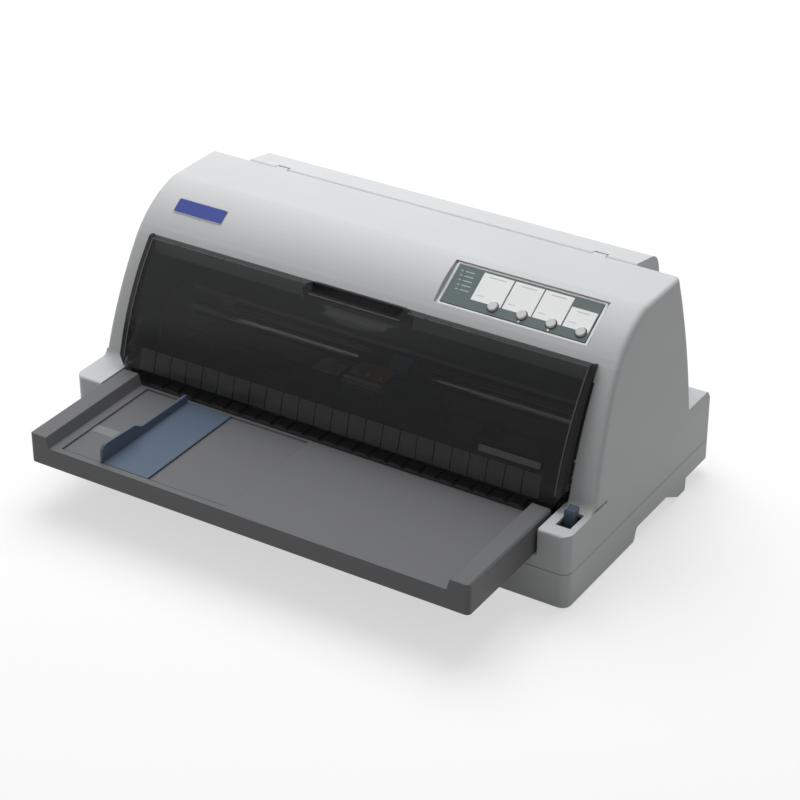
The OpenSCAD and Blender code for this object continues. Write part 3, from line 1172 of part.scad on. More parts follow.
// Boards, sockets, feet and screws
board_in_x = 14;
board_out_x = frame_in_x - 3;
module main_board() color([0.16, 0.36, 0.22]) {
    span([board_in_x, board_y0, board_h], [board_out_x, board_y1, board_h + board_t]);
    for (i = [0:2]) span([40 + i * 48, board_y0 + 14, board_h + 1], [70 + i * 48, board_y0 + 28, board_h + 5]);
    span([60, board_y0 + 44, board_h + 1], [92, board_y0 + 76, board_h + 5]);
    span([150, board_y0 + 40, board_h + 1], [158, board_y0 + 80, board_h + 10]);
}
module power_board() color([0.42, 0.34, 0.20]) {
    difference() {
        span([-board_out_x, board_y0, board_h], [-board_in_x, board_y1, board_h + board_t]);
        span([inlet_x - 20, board_y1 - 22, board_h - 1], [inlet_x + 20, board_y1 + 1, board_h + 3]);
    }
    span([-110, board_y0 + 20, board_h + 1], [-70, board_y0 + 55, board_h + 26]);
    rod_z(-150, board_y0 + 30, board_h + 1, board_h + 28, 11);
    span([-56, board_y0 + 10, board_h + 1], [-52, board_y0 + 70, board_h + 24]);
}
inlet_back_y = case_back_y + back_bulge;
module mains_inlet() color(black) difference() {
    union() {
        span([inlet_x - inlet_w / 2 + 0.1, case_back_y - 19, socket_h - inlet_open_h / 2 + 0.1],
             [inlet_x + inlet_w / 2 - 0.1, inlet_back_y + 0.2, socket_h + inlet_open_h / 2 - 0.1]);
        span([inlet_x - inlet_w / 2 - 2, inlet_back_y + 0.1, socket_h - inlet_open_h / 2 - 2],
             [inlet_x + inlet_w / 2 + 2, inlet_back_y + 1.6, socket_h + inlet_open_h / 2 + 1]);
    }
    difference() {
        span([inlet_x - 12, case_back_y - 9, socket_h - 7.5], [inlet_x + 12, inlet_back_y + 3, socket_h + 7.5]);
        for (x = [-7, 0, 7])
            span([inlet_x + x - 1, case_back_y - 10, socket_h - 2 + (x == 0 ? 2 : -1)],
                 [inlet_x + x + 1, inlet_back_y - 3, socket_h + 2 + (x == 0 ? 2 : -1)]);
    }
}
module interface_ports() color([0.55, 0.56, 0.58]) for (i = [0:len(port_x) - 1]) {
    difference() {
        span([port_x[i] - port_w[i] / 2 + 0.1, case_back_y - 16, socket_h - port_open_h / 2 + 0.1],
             [port_x[i] + port_w[i] / 2 - 0.1, inlet_back_y - 0.5, socket_h + port_open_h / 2 - 0.1]);
        difference() {
            span([port_x[i] - port_w[i] / 2 + 1.2, case_back_y - 5, socket_h - port_open_h / 2 + 1.2],
                 [port_x[i] + port_w[i] / 2 - 1.2, inlet_back_y + 1, socket_h + port_open_h / 2 - 1.2]);
            span([port_x[i] - port_w[i] / 2 + 3, case_back_y - 6, socket_h - 1.2],
                 [port_x[i] + port_w[i] / 2 - 3, inlet_back_y - 2, socket_h + 1.2]);
        }
    }
    span([port_x[i] - port_w[i] / 2 + 0.1, case_back_y - 16, board_h + board_t],
         [port_x[i] + port_w[i] / 2 - 0.1, board_y1 - 1, socket_h]);
}
module rubber_feet() color(rubber) both_sides() {
    rod_z(half_w - 22, case_front_y + 22, 0, foot_h, foot_r);
    rod_z(half_w - leg_w / 2, hood_back_y - 9.5, 0, foot_h, foot_r);
}
module case_screws() color(steel) both_sides() for (p = boss_xy) difference() {
    union() {
        rod_z(p.x, p.y, screw_seat_h - screw_head_h, screw_seat_h, screw_head_r);
        rod_z(p.x, p.y, screw_seat_h - 0.5, skirt_h + 10, screw_r);
    }
    span([p.x - 2.5, p.y - 0.4, screw_seat_h - screw_head_h - 1], [p.x + 2.5, p.y + 0.4, screw_seat_h - 1]);
    span([p.x - 0.4, p.y - 2.5, screw_seat_h - screw_head_h - 1], [p.x + 0.4, p.y + 2.5, screw_seat_h - 1]);
}

lower_case();
upper_housing();
rear_cover();
front_cover();
front_tray();
edge_guide();
release_lever();
panel_plate();
pause_button();
load_button();
feed_button();
font_button();
panel_board();
indicator_lights();
power_switch();
left_side_frame();
right_side_frame();
base_plate();
carriage_rail();
guide_shaft();
carriage();
print_head();
head_cable();
ribbon_cartridge();
ribbon();
platen();
front_paper_guide();
rear_paper_guide();
carriage_motor();
drive_pulley();
idler_pulley();
timing_belt();
feed_motor();
feed_pinion();
idler_gear();
transfer_gear_1();
transfer_gear_2();
transfer_gear_3();
front_feed_roller();
rear_feed_roller();
front_pinch_rollers();
rear_pinch_rollers();
shaft_bushes();
tractor_drive_shaft();
tractor_guide_shaft();
left_tractor();
right_tractor();
left_tractor_flap();
right_tractor_flap();
left_sprocket();
right_sprocket();
left_pin_belt();
right_pin_belt();
main_board();
power_board();
mains_inlet();
interface_ports();
rubber_feet();
case_screws();
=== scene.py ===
import math
import bpy
import bmesh
import json
import numpy as np
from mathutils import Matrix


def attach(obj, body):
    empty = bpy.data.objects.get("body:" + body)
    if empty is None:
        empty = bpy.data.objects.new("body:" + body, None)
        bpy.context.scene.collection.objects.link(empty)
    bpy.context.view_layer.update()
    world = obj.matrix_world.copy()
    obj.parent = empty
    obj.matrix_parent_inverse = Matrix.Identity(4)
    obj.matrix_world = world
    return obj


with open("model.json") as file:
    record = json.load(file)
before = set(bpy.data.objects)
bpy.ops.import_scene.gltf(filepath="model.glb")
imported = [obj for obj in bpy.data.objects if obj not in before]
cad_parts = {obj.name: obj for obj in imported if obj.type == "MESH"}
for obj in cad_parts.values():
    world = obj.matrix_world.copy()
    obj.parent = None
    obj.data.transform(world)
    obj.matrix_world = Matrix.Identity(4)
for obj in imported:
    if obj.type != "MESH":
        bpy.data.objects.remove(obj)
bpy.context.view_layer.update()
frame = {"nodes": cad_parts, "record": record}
nodes = frame["nodes"]
print("scene: frame loaded,", len(nodes), "nodes")

view = {"place": (0.96596, -1.4895, 1.10822), "azimuth": 32.06, "elevation": 30.23, "lens": 110.81,
        "sensor": 36.0, "near": 0.05}


def makeCamera():
    data = bpy.data.cameras.new("camera")
    data.sensor_width = view["sensor"]
    data.lens = view["lens"]
    data.clip_start = view["near"]
    camera = bpy.data.objects.new("camera", data)
    camera.location = view["place"]
    camera.rotation_euler = (math.radians(90.0 - view["elevation"]), 0.0, math.radians(view["azimuth"]))
    bpy.context.scene.collection.objects.link(camera)
    bpy.context.scene.camera = camera


makeCamera()


class Value:
    # wraps one output socket, so that sums and products of sockets add their own Math nodes
    def __init__(self, shader, socket):
        self.shader = shader
        self.socket = socket

    def maths(self, operation, first, second):
        return self.shader.add("ShaderNodeMath", {"operation": operation}, {0: first, 1: second})[0]

    def __add__(self, other):
        return self.maths("ADD", self, other)

    __radd__ = __add__

    def __sub__(self, other):
        return self.maths("SUBTRACT", self, other)

    def __rsub__(self, other):
        return self.maths("SUBTRACT", other, self)

    def __mul__(self, other):
        return self.maths("MULTIPLY", self, other)

    __rmul__ = __mul__

    def __gt__(self, other):
        return self.maths("GREATER_THAN", self, other)

    def __lt__(self, other):
        return self.maths("LESS_THAN", self, other)


class Nodes:
    # the nodes of one material or of the world
    def __init__(self, tree):
        self.tree = tree
        tree.nodes.clear()

    def put(self, socket, value):
        if isinstance(value, Value):
            self.tree.links.new(value.socket, socket)
            return
        if hasattr(socket.default_value, "__len__") and len(socket.default_value) == 4 and len(value) == 3:
            value = (*value, 1.0)
        socket.default_value = value

    def add(self, kind, settings=None, sockets=None):
        # a node's settings come first, then the values or links of its sockets
        node = self.tree.nodes.new(kind)
        for name, value in (settings or {}).items():
            setattr(node, name, value)
        for name, value in (sockets or {}).items():
            self.put(node.inputs[name], value)
        return [Value(self, out) for out in node.outputs]

    def rays(self):
        # 1 for the camera's rays, for mirrored rays and for rays that pass through
        path = {way.socket.name: way for way in self.add("ShaderNodeLightPath")}
        return path["Is Camera Ray"], path["Is Glossy Ray"], path["Is Transmission Ray"]


class Finish(Nodes):
    # one material with a principled shader that is already wired to its output
    def __init__(self, name):
        self.material = bpy.data.materials.new(name)
        self.material.use_nodes = True
        super().__init__(self.material.node_tree)
        self.output = self.tree.nodes.new("ShaderNodeOutputMaterial")
        self.shader = self.tree.nodes.new("ShaderNodeBsdfPrincipled")
        self.tree.links.new(self.shader.outputs[0], self.output.inputs["Surface"])

    def set(self, **sockets):
        names = {"color": "Base Color", "rough": "Roughness", "metal": "Metallic", "coat": "Coat Weight",
                 "alpha": "Alpha", "normal": "Normal", "specular": "Specular IOR Level"}
        for name, value in sockets.items():
            self.put(self.shader.inputs[names[name]], value)

    def place(self):
        # Object coordinates
        return self.add("ShaderNodeTexCoord")[3]

    def noise(self, where, scale, detail=2.0, rough=0.5):
        return self.add("ShaderNodeTexNoise", None,
                        {"Vector": where, "Scale": scale, "Detail": detail, "Roughness": rough})[0]

    def mix(self, factor, first, second, kind="MIX"):
        # sockets 6 and 7 are the two colours
        return self.add("ShaderNodeMix", {"data_type": "RGBA", "blend_type": kind},
                        {0: factor, 6: first, 7: second})[2]

    def bump(self, height, strength, distance, normal=None):
        sockets = {"Height": height, "Strength": strength, "Distance": distance}
        if normal is not None:
            sockets["Normal"] = normal
        return self.add("ShaderNodeBump", None, sockets)[0]

    def rounded(self, radius):
        return self.add("ShaderNodeBevel", {"samples": 4}, {"Radius": radius})[0]


def shade(colour, factor):
    return tuple(min(1.0, c * factor) for c in colour)


panelFrame = {"x": 0.131, "y": 0.0245305, "z": 0.19225, "tilt": 31.3718}
hoodCurve = {"low": 0.181, "back": 0.058, "side": 0.236, "panelX": 0.0745, "panelY": 0.0270,
             "radius": 0.0055}


def onPanel(finish, where):
    # distances from the panel's middle, along X and up its slope
    tilt = math.radians(panelFrame["tilt"])
    upSlope = (0.0, math.cos(tilt), math.sin(tilt))
    across = finish.add("ShaderNodeSeparateXYZ", None, {0: where})[0] - panelFrame["x"]
    middle = panelFrame["y"] * upSlope[1] + panelFrame["z"] * upSlope[2]
    rise = finish.add("ShaderNodeVectorMath", {"operation": "DOT_PRODUCT"}, {0: where, 1: upSlope})[1]
    return across, rise - middle


def hoodNormal(finish, where, edge):
    # wide rounding over the hood's curved front, and only narrow edges elsewhere;
    # sockets 4 and 5 are the two vectors
    x, y, z = finish.add("ShaderNodeSeparateXYZ", None, {0: where})
    across, along = onPanel(finish, where)
    panel = (across * across < hoodCurve["panelX"] ** 2) * (along * along < hoodCurve["panelY"] ** 2)
    front = (z > hoodCurve["low"]) * (y < hoodCurve["back"]) * (x * x < hoodCurve["side"] ** 2)
    curve = front * (1.0 - panel)
    return finish.add("ShaderNodeMix", {"data_type": "VECTOR"},
                      {0: curve, 4: finish.rounded(edge), 5: finish.rounded(hoodCurve["radius"])})[1]


grainSize = 0.0007


def mouldedPlastic(name, colour, rough=0.45, grain=0.35, edge=0.0006, coat=0.0, specular=0.5, curved=None):
    # spark-eroded grain in two sizes, faint cloudy colour and rubbed patches of other roughness
    finish = Finish(name)
    where = finish.place()
    fine = finish.noise(where, 1.0 / grainSize, 3.0, 0.6)
    coarse = finish.noise(where, 0.28 / grainSize, 2.0)
    cloud = finish.noise(where, 14.0, 3.0)
    rub = finish.noise(where, 55.0, 4.0, 0.65)
    base = finish.mix(cloud, shade(colour, 0.955), shade(colour, 1.045))
    smooth = curved(finish, where, edge) if curved else finish.rounded(edge)
    finish.set(color=finish.mix(fine * 0.35, base, shade(colour, 0.86)), rough=rough - 0.07 + 0.14 * rub,
               coat=coat, specular=specular,
               normal=finish.bump(fine * 0.7 + coarse * 0.3, grain, 0.00008, smooth))
    return finish.material


def sheetSteel(name, colour, rough=0.38):
    # zinc bloom with rolling marks along X
    finish = Finish(name)
    where = finish.place()
    stretched = finish.add("ShaderNodeMapping", None, {"Vector": where, "Scale": (20.0, 900.0, 900.0)})[0]
    marks = finish.noise(stretched, 1.0, 2.0)
    bloom = finish.add("ShaderNodeTexVoronoi", None, {"Vector": where, "Scale": 120.0})[1]
    tone = finish.mix(marks, shade(colour, 0.86), shade(colour, 1.12))
    finish.set(color=finish.mix(0.12, tone, bloom, "SOFT_LIGHT"), metal=1.0,
               rough=rough - 0.08 + 0.2 * marks,
               normal=finish.bump(marks, 0.15, 0.00005, finish.rounded(0.0003)))
    return finish.material


def groundSteel(name, colour, rough=0.16):
    # bright steel with the grinding wheel's rings round X
    finish = Finish(name)
    where = finish.place()
    stretched = finish.add("ShaderNodeMapping", None, {"Vector": where, "Scale": (2600.0, 60.0, 60.0)})[0]
    rings = finish.noise(stretched, 1.0)
    finish.set(color=finish.mix(rings, shade(colour, 0.9), shade(colour, 1.08)), metal=1.0,
               rough=rough - 0.05 + 0.12 * rings, normal=finish.bump(rings, 0.08, 0.00003))
    return finish.material


# the share of light that the cover stops, and what its side walls add to it
smoke = {"rim": 0.2108, "stops": 0.535, "wallAdds": 0.455}


def smokedCover(name):
    # dark acrylic that lets a little light through, with faint polishing marks;
    # its two side walls, outside the rim, let next to none through
    finish = Finish(name)
    where = finish.place()
    swirl = finish.noise(where, 30.0, 4.0)
    across = finish.add("ShaderNodeSeparateXYZ", None, {0: where})[0]
    wall = across * across > smoke["rim"] ** 2
    tone = finish.mix(swirl, (0.009, 0.010, 0.011), (0.015, 0.016, 0.017))
    finish.set(color=finish.mix(wall, tone, (0.003, 0.003, 0.003)), rough=0.13 + 0.08 * swirl,
               alpha=smoke["stops"] + smoke["wallAdds"] * wall, specular=0.30, normal=finish.rounded(0.0004))
    return finish.material


def rubberSkin(name, colour):
    # matt and dusty, with a fine grit
    finish = Finish(name)
    where = finish.place()
    grit = finish.noise(where, 900.0, 4.0, 0.7)
    finish.set(color=finish.mix(grit, shade(colour, 0.8), shade(colour, 1.5)), rough=0.72 + 0.15 * grit,
               normal=finish.bump(grit, 0.3, 0.0001))
    return finish.material


def circuitBoard(name):
    # green lacquer over tracks that run square to each other
    finish = Finish(name)
    where = finish.place()
    blocks = finish.add("ShaderNodeTexVoronoi", {"distance": "CHEBYCHEV"}, {"Vector": where, "Scale": 260.0})
    tracks = blocks[0] > 0.36
    finish.set(color=finish.mix(tracks, (0.012, 0.085, 0.035), (0.03, 0.17, 0.07)), rough=0.25, coat=0.5,
               normal=finish.bump(tracks, 0.3, 0.00003))
    return finish.material


# writing fields as left, right, low and high, measured from the panel's middle
labels = [(-0.0420, -0.0144, -0.0098, 0.0170), (-0.0130, 0.0132, -0.0098, 0.0170),
          (0.0144, 0.0402, -0.0098, 0.0170), (0.0416, 0.0648, -0.0098, 0.0090)]
legends = [(-0.0622 + 0.0008 * row, 0.0128 - 0.0043 * row) for row in range(5)]
bars = {"dot": 0.0022, "left": 0.0042, "right": 0.0125, "high": 0.0010}
titleRule = {"inset": 0.006, "low": 0.0034, "high": 0.0026}
footRule = {"left": 0.003, "right": 0.010, "low": 0.0050, "high": 0.0056}
# a dark disc round each button: painted shade for the gap round the button and its shadow
buttonShade = {"count": 4, "first": -0.0206, "pitch": 0.0265, "drop": -0.011, "radius": 0.0051}


def panelPrint(name):
    # slate skin with white writing fields, a few plain rules and a painted shade disc round each button,
    # drawn in the panel's own plane
    finish = Finish(name)
    where = finish.place()
    across, along = onPanel(finish, where)

    def field(left, right, low, high):
        return (across > left) * (across < right) * (along > low) * (along < high)

    white = 0.0
    for edges in labels:
        white = field(*edges) + white
    ruled = 0.0
    for left, low in legends:
        ruled = field(left, left + bars["dot"], low, low + bars["high"]) + ruled
        ruled = field(left + bars["left"], left + bars["right"], low, low + bars["high"]) + ruled
    for left, right, low, high in labels:
        ruled = field(left + titleRule["inset"], right - titleRule["inset"],
                      high - titleRule["low"], high - titleRule["high"]) + ruled
        ruled = field(left + footRule["left"], left + footRule["right"],
                      low + footRule["low"], low + footRule["high"]) + ruled
    # painted shade: a dark disc round each button
    shaded = 0.0
    for count in range(buttonShade["count"]):
        side = across - (buttonShade["first"] + buttonShade["pitch"] * count)
        rise = along - buttonShade["drop"]
        shaded = (side * side + rise * rise < buttonShade["radius"] ** 2) + shaded
    fine = finish.noise(where, 2400.0, 3.0)
    cloud = finish.noise(where, 40.0, 3.0)
    slate = finish.mix(cloud, (0.088, 0.122, 0.118), (0.112, 0.150, 0.146))
    paper = finish.mix(cloud, (0.74, 0.76, 0.76), (0.82, 0.835, 0.83))
    ink = finish.mix(white, (0.42, 0.47, 0.47), (0.36, 0.38, 0.38))
    skin = finish.mix(shaded, finish.mix(white, slate, paper), (0.035, 0.045, 0.044))
    finish.set(color=finish.mix(ruled * (0.4 + 0.8 * fine), skin, ink), rough=0.34 + 0.12 * cloud,
               normal=finish.bump(fine + white, 0.12, 0.00004, finish.rounded(0.0003)))
    return finish.material


finishes = {
    "case": mouldedPlastic("casePlastic", (0.570, 0.580, 0.588), 0.46, 0.30, edge=0.0010, curved=hoodNormal),
    "tray": mouldedPlastic("trayPlastic", (0.150, 0.152, 0.157), 0.42, 0.30, edge=0.0010, specular=0.25),
    # pale plastic; on the long rail's edge and round the panel it is painted highlight
    "rim": mouldedPlastic("paleAndHighlightPlastic", (0.74, 0.745, 0.74), 0.32, 0.10, edge=0.0004),
    # painted light: painted shade in the side gaps and the finger hollow, and painted highlight lines that
    # are paler than the smoked cover
    "bead": mouldedPlastic("shadeAndHighlightPlastic", (0.070, 0.070, 0.075), 0.28, 0.10, edge=0.0003),
    "rib": mouldedPlastic("ribPlastic", (0.11, 0.11, 0.112), 0.50, 0.30, edge=0.0005),
    "pale": mouldedPlastic("palePlastic", (0.52, 0.50, 0.50), 0.40, 0.20, edge=0.0005),
    "bronze": mouldedPlastic("headBronze", (0.66, 0.44, 0.20), 0.30, 0.15, edge=0.0004, coat=0.4),
    "smoke": smokedCover("smokedPlastic"),
    "blue": mouldedPlastic("bluePlastic", (0.098, 0.132, 0.182), 0.36, 0.20, specular=0.3),
    "panel": panelPrint("panelPlastic"),
    "badge": mouldedPlastic("badgeEnamel", (0.030, 0.055, 0.300), 0.22, 0.03, edge=0.0002, coat=0.5),
    "trayInk": mouldedPlastic("trayInk", (0.20, 0.205, 0.21), 0.40, 0.05, edge=0.0002),
    "silver": sheetSteel("badgeRim", (0.50, 0.52, 0.56), 0.3),
    "plate": mouldedPlastic("coverPlateInk", (0.028, 0.029, 0.031), 0.35, 0.05, edge=0.0002),
    "button": mouldedPlastic("buttonPlastic", (0.58, 0.59, 0.59), 0.32, 0.06, edge=0.0004),
    "black": mouldedPlastic("blackPlastic", (0.022, 0.022, 0.024), 0.42, 0.3),
    "gear": mouldedPlastic("gearPlastic", (0.70, 0.68, 0.60), 0.35, 0.05, edge=0.0002),
    "steel": sheetSteel("sheetSteel", (0.56, 0.57, 0.58)),
    "shaft": groundSteel("shaftSteel", (0.70, 0.71, 0.73)),
    "head": sheetSteel("headAluminium", (0.40, 0.41, 0.42), 0.45),
    "rubber": rubberSkin("rubber", (0.022, 0.022, 0.022)),
    "ribbon": rubberSkin("inkedRibbon", (0.012, 0.012, 0.016)),
    "film": mouldedPlastic("cableFilm", (0.10, 0.30, 0.36), 0.22, 0.04),
    "board": circuitBoard("circuitBoard"),
    "lamp": mouldedPlastic("lampPlastic", (0.84, 0.86, 0.83), 0.15, 0.02),
}
slotFinish = {
    "case_plastic": "case", "tray_plastic": "tray", "smoke_plastic": "smoke", "blue_plastic": "blue",
    "panel_plastic": "panel", "button_plastic": "button", "black_plastic": "black", "gear_plastic": "gear",
    "sheet_steel": "steel", "shaft_steel": "shaft", "head_aluminium": "head", "rubber": "rubber",
    "ribbon_fabric": "ribbon", "cable_film": "film", "circuit_board": "board", "lamp_plastic": "lamp",
}
nodeSlot = {part["node"]: part["material_slot"] for part in frame["record"]["subparts"]}
for name, piece in nodes.items():
    piece.data.materials.clear()
    piece.data.materials.append(finishes[slotFinish[nodeSlot[name]]])
print("scene: materials made")


floorPaint = {"side": 6.0, "lighting": (0.36, 0.36, 0.36), "shown": (0.95, 0.95, 0.95), "glow": 0.6}


def makeFloor():
    # pale to the camera and to mirrored rays, and darker to the light that bounces up from it
    mesh = bpy.data.meshes.new("floor")
    side = floorPaint["side"]
    corners = [(-side, -side, 0), (side, -side, 0), (side, side, 0), (-side, side, 0)]
    mesh.from_pydata(corners, [], [(0, 1, 2, 3)])
    floor = bpy.data.objects.new("floor", mesh)
    bpy.context.scene.collection.objects.link(floor)
    finish = Finish("floorPaint")
    camera, mirrored, _ = finish.rays()
    seen = camera + mirrored
    finish.set(color=finish.mix(seen, floorPaint["lighting"], floorPaint["shown"]), rough=0.9, specular=0.1)
    paint = Value(finish, finish.shader.outputs[0])
    white = finish.add("ShaderNodeEmission", None, {"Color": (1.0, 1.0, 1.0), "Strength": 1.0})[0]
    both = finish.add("ShaderNodeMixShader", None, {0: seen * floorPaint["glow"], 1: paint, 2: white})[0]
    finish.put(finish.output.inputs["Surface"], both)
    mesh.materials.append(finish.material)


studio = {"soft": 0.27, "backdrop": (0.8, 0.8, 0.8), "mirrored": 0.85}


def makeWorld():
    # soft white light all round; the camera and passing rays see the backdrop, and mirrored rays most of it
    world = bpy.data.worlds.new("studio")
    world.use_nodes = True
    sky = Nodes(world.node_tree)
    camera, mirrored, passing = sky.rays()
    soft = sky.add("ShaderNodeBackground", None, {"Color": (1.0, 1.0, 1.0), "Strength": studio["soft"]})[0]
    backdrop = sky.add("ShaderNodeBackground", None, {"Color": studio["backdrop"], "Strength": 1.0})[0]
    share = camera + passing + mirrored * studio["mirrored"]
    light = sky.add("ShaderNodeMixShader", None, {0: share, 1: soft, 2: backdrop})[0]
    sky.add("ShaderNodeOutputWorld", None, {"Surface": light})
    bpy.context.scene.world = world


lamps = {"above": {"place": (-0.35, 0.62, 1.62), "size": 1.6, "power": 35.0, "mirrored": False},
         "left": {"place": (-1.5, -1.2, 1.0), "size": 1.3, "power": 3.4, "mirrored": True}}
lampAim = 0.1


def makeLamps():
    # square lamps that face the upright line through the object's middle at the height lampAim
    for name, lamp in lamps.items():
        data = bpy.data.lights.new(name, "AREA")
        data.size = lamp["size"]
        data.energy = lamp["power"]
        light = bpy.data.objects.new(name, data)
        x, y, z = lamp["place"]
        light.location = lamp["place"]
        light.visible_glossy = lamp["mirrored"]
        reach = math.hypot(x, y)
        light.rotation_euler = (math.atan2(reach, z - lampAim), 0.0, math.atan2(y, x) + math.pi / 2)
        bpy.context.scene.collection.objects.link(light)


def gridFaces(rows, columns):
    # four-sided faces between neighbouring rings, the last column joined to the first
    r = np.arange(rows - 1)[:, None]
    c = np.arange(columns)[None, :]
    here, beside = r * columns + c, r * columns + (c + 1) % columns
    return np.stack([here, beside, beside + columns, here + columns], -1).reshape(-1, 4).tolist()


def makePiece(name, points, faces, finish, body, slot):
    # a mesh with its faces turned outwards, riding on a body of the frame
    mesh = bpy.data.meshes.new(name)
    mesh.from_pydata(points.reshape(-1, 3).tolist(), [], faces)
    build = bmesh.new()
    build.from_mesh(mesh)
    bmesh.ops.recalc_face_normals(build, faces=build.faces)
    build.to_mesh(mesh)
    build.free()
    mesh.materials.append(finishes[finish])
    piece = bpy.data.objects.new(name, mesh)
    bpy.context.scene.collection.objects.link(piece)
    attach(piece, body)
    return piece


def laid(points, origin, right, up):
    # a point is the origin plus x along right, y along up and z along their cross product
    right, up = np.array(right, float), np.array(up, float)
    return np.array(origin, float) + points @ np.stack([right, up, np.cross(right, up)])


def roundedRing(length, width, corner, arcSteps=5):
    # a rounded rectangle round the origin: four quarter circles, joined by straight runs
    turn = (np.arange(4)[:, None] * 90 + np.linspace(0, 90, arcSteps)[None, :]).ravel() * np.pi / 180
    x = np.repeat(np.array([1, -1, -1, 1]), arcSteps) * (length / 2 - corner) + corner * np.cos(turn)
    y = np.repeat(np.array([1, 1, -1, -1]), arcSteps) * (width / 2 - corner) + corner * np.sin(turn)
    return x, y


def plateRings(length, width, corner, thick, edge):
    # a rounded rectangle drawn in by inset(v) at height(v): up the wall, then over a quarter-round edge
    lean = np.linspace(0, np.pi / 2, 5)
    inset = np.concatenate([[0.0], edge * (1 - np.cos(lean))])[:, None]
    height = np.concatenate([[0.0], thick - edge + edge * np.sin(lean)])[:, None]
    x, y = roundedRing(length - 2 * inset, width - 2 * inset, corner - inset)
    return np.stack(np.broadcast_arrays(x, y, height), -1)


def frameRings(length, width, corner, band, high, edge, smallest=0.0004):
    # a rounded rectangle's band: up the outer wall, over two eased edges and down the inner wall
    inset = np.array([0.0, 0.0, edge, band - edge, band, band])[:, None]
    height = np.array([0.0, high - edge, high, high, high - edge, 0.0])[:, None]
    x, y = roundedRing(length - 2 * inset, width - 2 * inset, np.maximum(corner - inset, smallest))
    return np.stack(np.broadcast_arrays(x, y, height), -1)


def turnedRings(section, radius, steps):
    # a section of pairs, a share of the radius and a height, carried once round the axis
    turn = np.arange(steps) * 2 * np.pi / steps
    share, height = np.array(section).T[..., None]
    reach = radius * share
    return np.stack(np.broadcast_arrays(reach * np.cos(turn), reach * np.sin(turn), height), -1)


def closedBand(rings):
    # the last ring meets the first again, and every ring closes on itself
    rows, columns = rings.shape[:2]
    faces = np.array(gridFaces(rows + 1, columns)) % (rows * columns)
    return faces.tolist()


def shell(low, high):
    # two skins of rows by columns points, the high one outside, closed round their rim
    rows, columns = low.shape[:2]
    count = rows * columns
    first = (np.arange(rows - 1)[:, None] * columns + np.arange(columns - 1)[None, :]).ravel()
    quads = np.stack([first, first + 1, first + columns + 1, first + columns], -1)
    rim = np.concatenate([np.arange(columns), np.arange(1, rows) * columns + columns - 1,
                          (rows - 1) * columns + np.arange(columns - 2, -1, -1),
                          np.arange(rows - 2, 0, -1) * columns])
    after = np.roll(rim, -1)
    walls = np.stack([rim, after, after + count, rim + count], -1)
    points = np.concatenate([low.reshape(-1, 3), high.reshape(-1, 3)])
    return points, [*(quads + count).tolist(), *quads[:, ::-1].tolist(), *walls.tolist()]


def joined(shells):
    # several closed skins as one list of points and faces
    points, faces, start = [], [], 0
    for some, quads in shells:
        points.append(some)
        faces += [[start + index for index in quad] for quad in quads]
        start += len(some)
    return np.concatenate(points), faces


def closedStack(rings):
    # side faces between the rings, with one many-sided face on the first and last ring
    rows, columns = rings.shape[:2]
    last = (rows - 1) * columns
    return gridFaces(rows, columns) + [list(range(columns))[::-1], [last + k for k in range(columns)]]


def stood(rings, spot, right, up, sink=0.0, close=closedStack):
    # rings laid at a spot with their foot sunk a little into what carries them
    return laid(rings - (0.0, 0.0, sink), spot, right, up).reshape(-1, 3), close(rings)


def plate(sizes, spot, right, up):
    # a rounded plate with an eased upper edge, made from one dictionary of sizes
    rings = plateRings(*[sizes[key] for key in ("length", "width", "corner", "thick", "edge")])
    return stood(rings, spot, right, up, sizes["sink"])


def touch(node, start, direction):
    # where a straight line from start first meets a CAD node
    point, normal = nodes[node].ray_cast(start, direction)[1:3]
    return np.array(point), np.array(normal)


alongX, alongY, alongZ = (1, 0, 0), (0, 1, 0), (0, 0, 1)
leftward, forward, downward = (-1, 0, 0), (0, -1, 0), (0, 0, -1)
# where the lines start that feel for a surface
outside = {"front": -0.3, "back": 0.4, "above": 0.3}

badge = {"x": -0.1800, "y": 0.0212, "length": 0.049, "width": 0.0128, "corner": 0.0012, "thick": 0.0014,
         "edge": 0.0004, "sink": 0.0003, "rim": 0.0008}
badgeRim = {**badge, "length": badge["length"] + 2 * badge["rim"],
            "width": badge["width"] + 2 * badge["rim"], "corner": 0.0018, "thick": 0.0007, "edge": 0.0003}


def makeBadge():
    # a bare blue plate in a bright rim, sunk slightly into the curved hood
    spot, normal = touch("upper_housing", (badge["x"], badge["y"], outside["above"]), downward)
    up = np.cross(normal, alongX)
    makePiece("badgePlate", *plate(badge, spot, alongX, up), "badge", "case", "blue_plastic")
    makePiece("badgeRim", *plate(badgeRim, spot, alongX, up), "silver", "case", "sheet_steel")


coverPlate = {"x": 0.1655, "z": 0.0985, "length": 0.056, "width": 0.0056, "corner": 0.0009, "thick": 0.0005,
              "edge": 0.0002, "sink": 0.00015}


def makeCoverPlate():
    # a bare strip low on the smoked cover
    spot, normal = touch("front_cover", (coverPlate["x"], outside["front"], coverPlate["z"]), alongY)
    points, faces = plate(coverPlate, spot, alongX, np.cross(normal, alongX))
    makePiece("coverPlate", points, faces, "plate", "front_cover", "smoke_plastic")


makeBadge()
makeCoverPlate()
print("scene: plates made")

# Y and Z of the cover's lower and upper edge
coverArc = {"low": (-0.0579, 0.072), "top": (-0.0065, 0.173), "radius": 0.230, "thick": 0.0025}
# the finger notch and the hollow behind it, with its angles in degrees
scoop = {"x": -0.004, "half": 0.042, "radius": 0.012, "z": 0.164, "lift": 0.0009, "thick": 0.0006,
         "feel": -0.011, "tilt": 75, "low": -55, "high": 62}


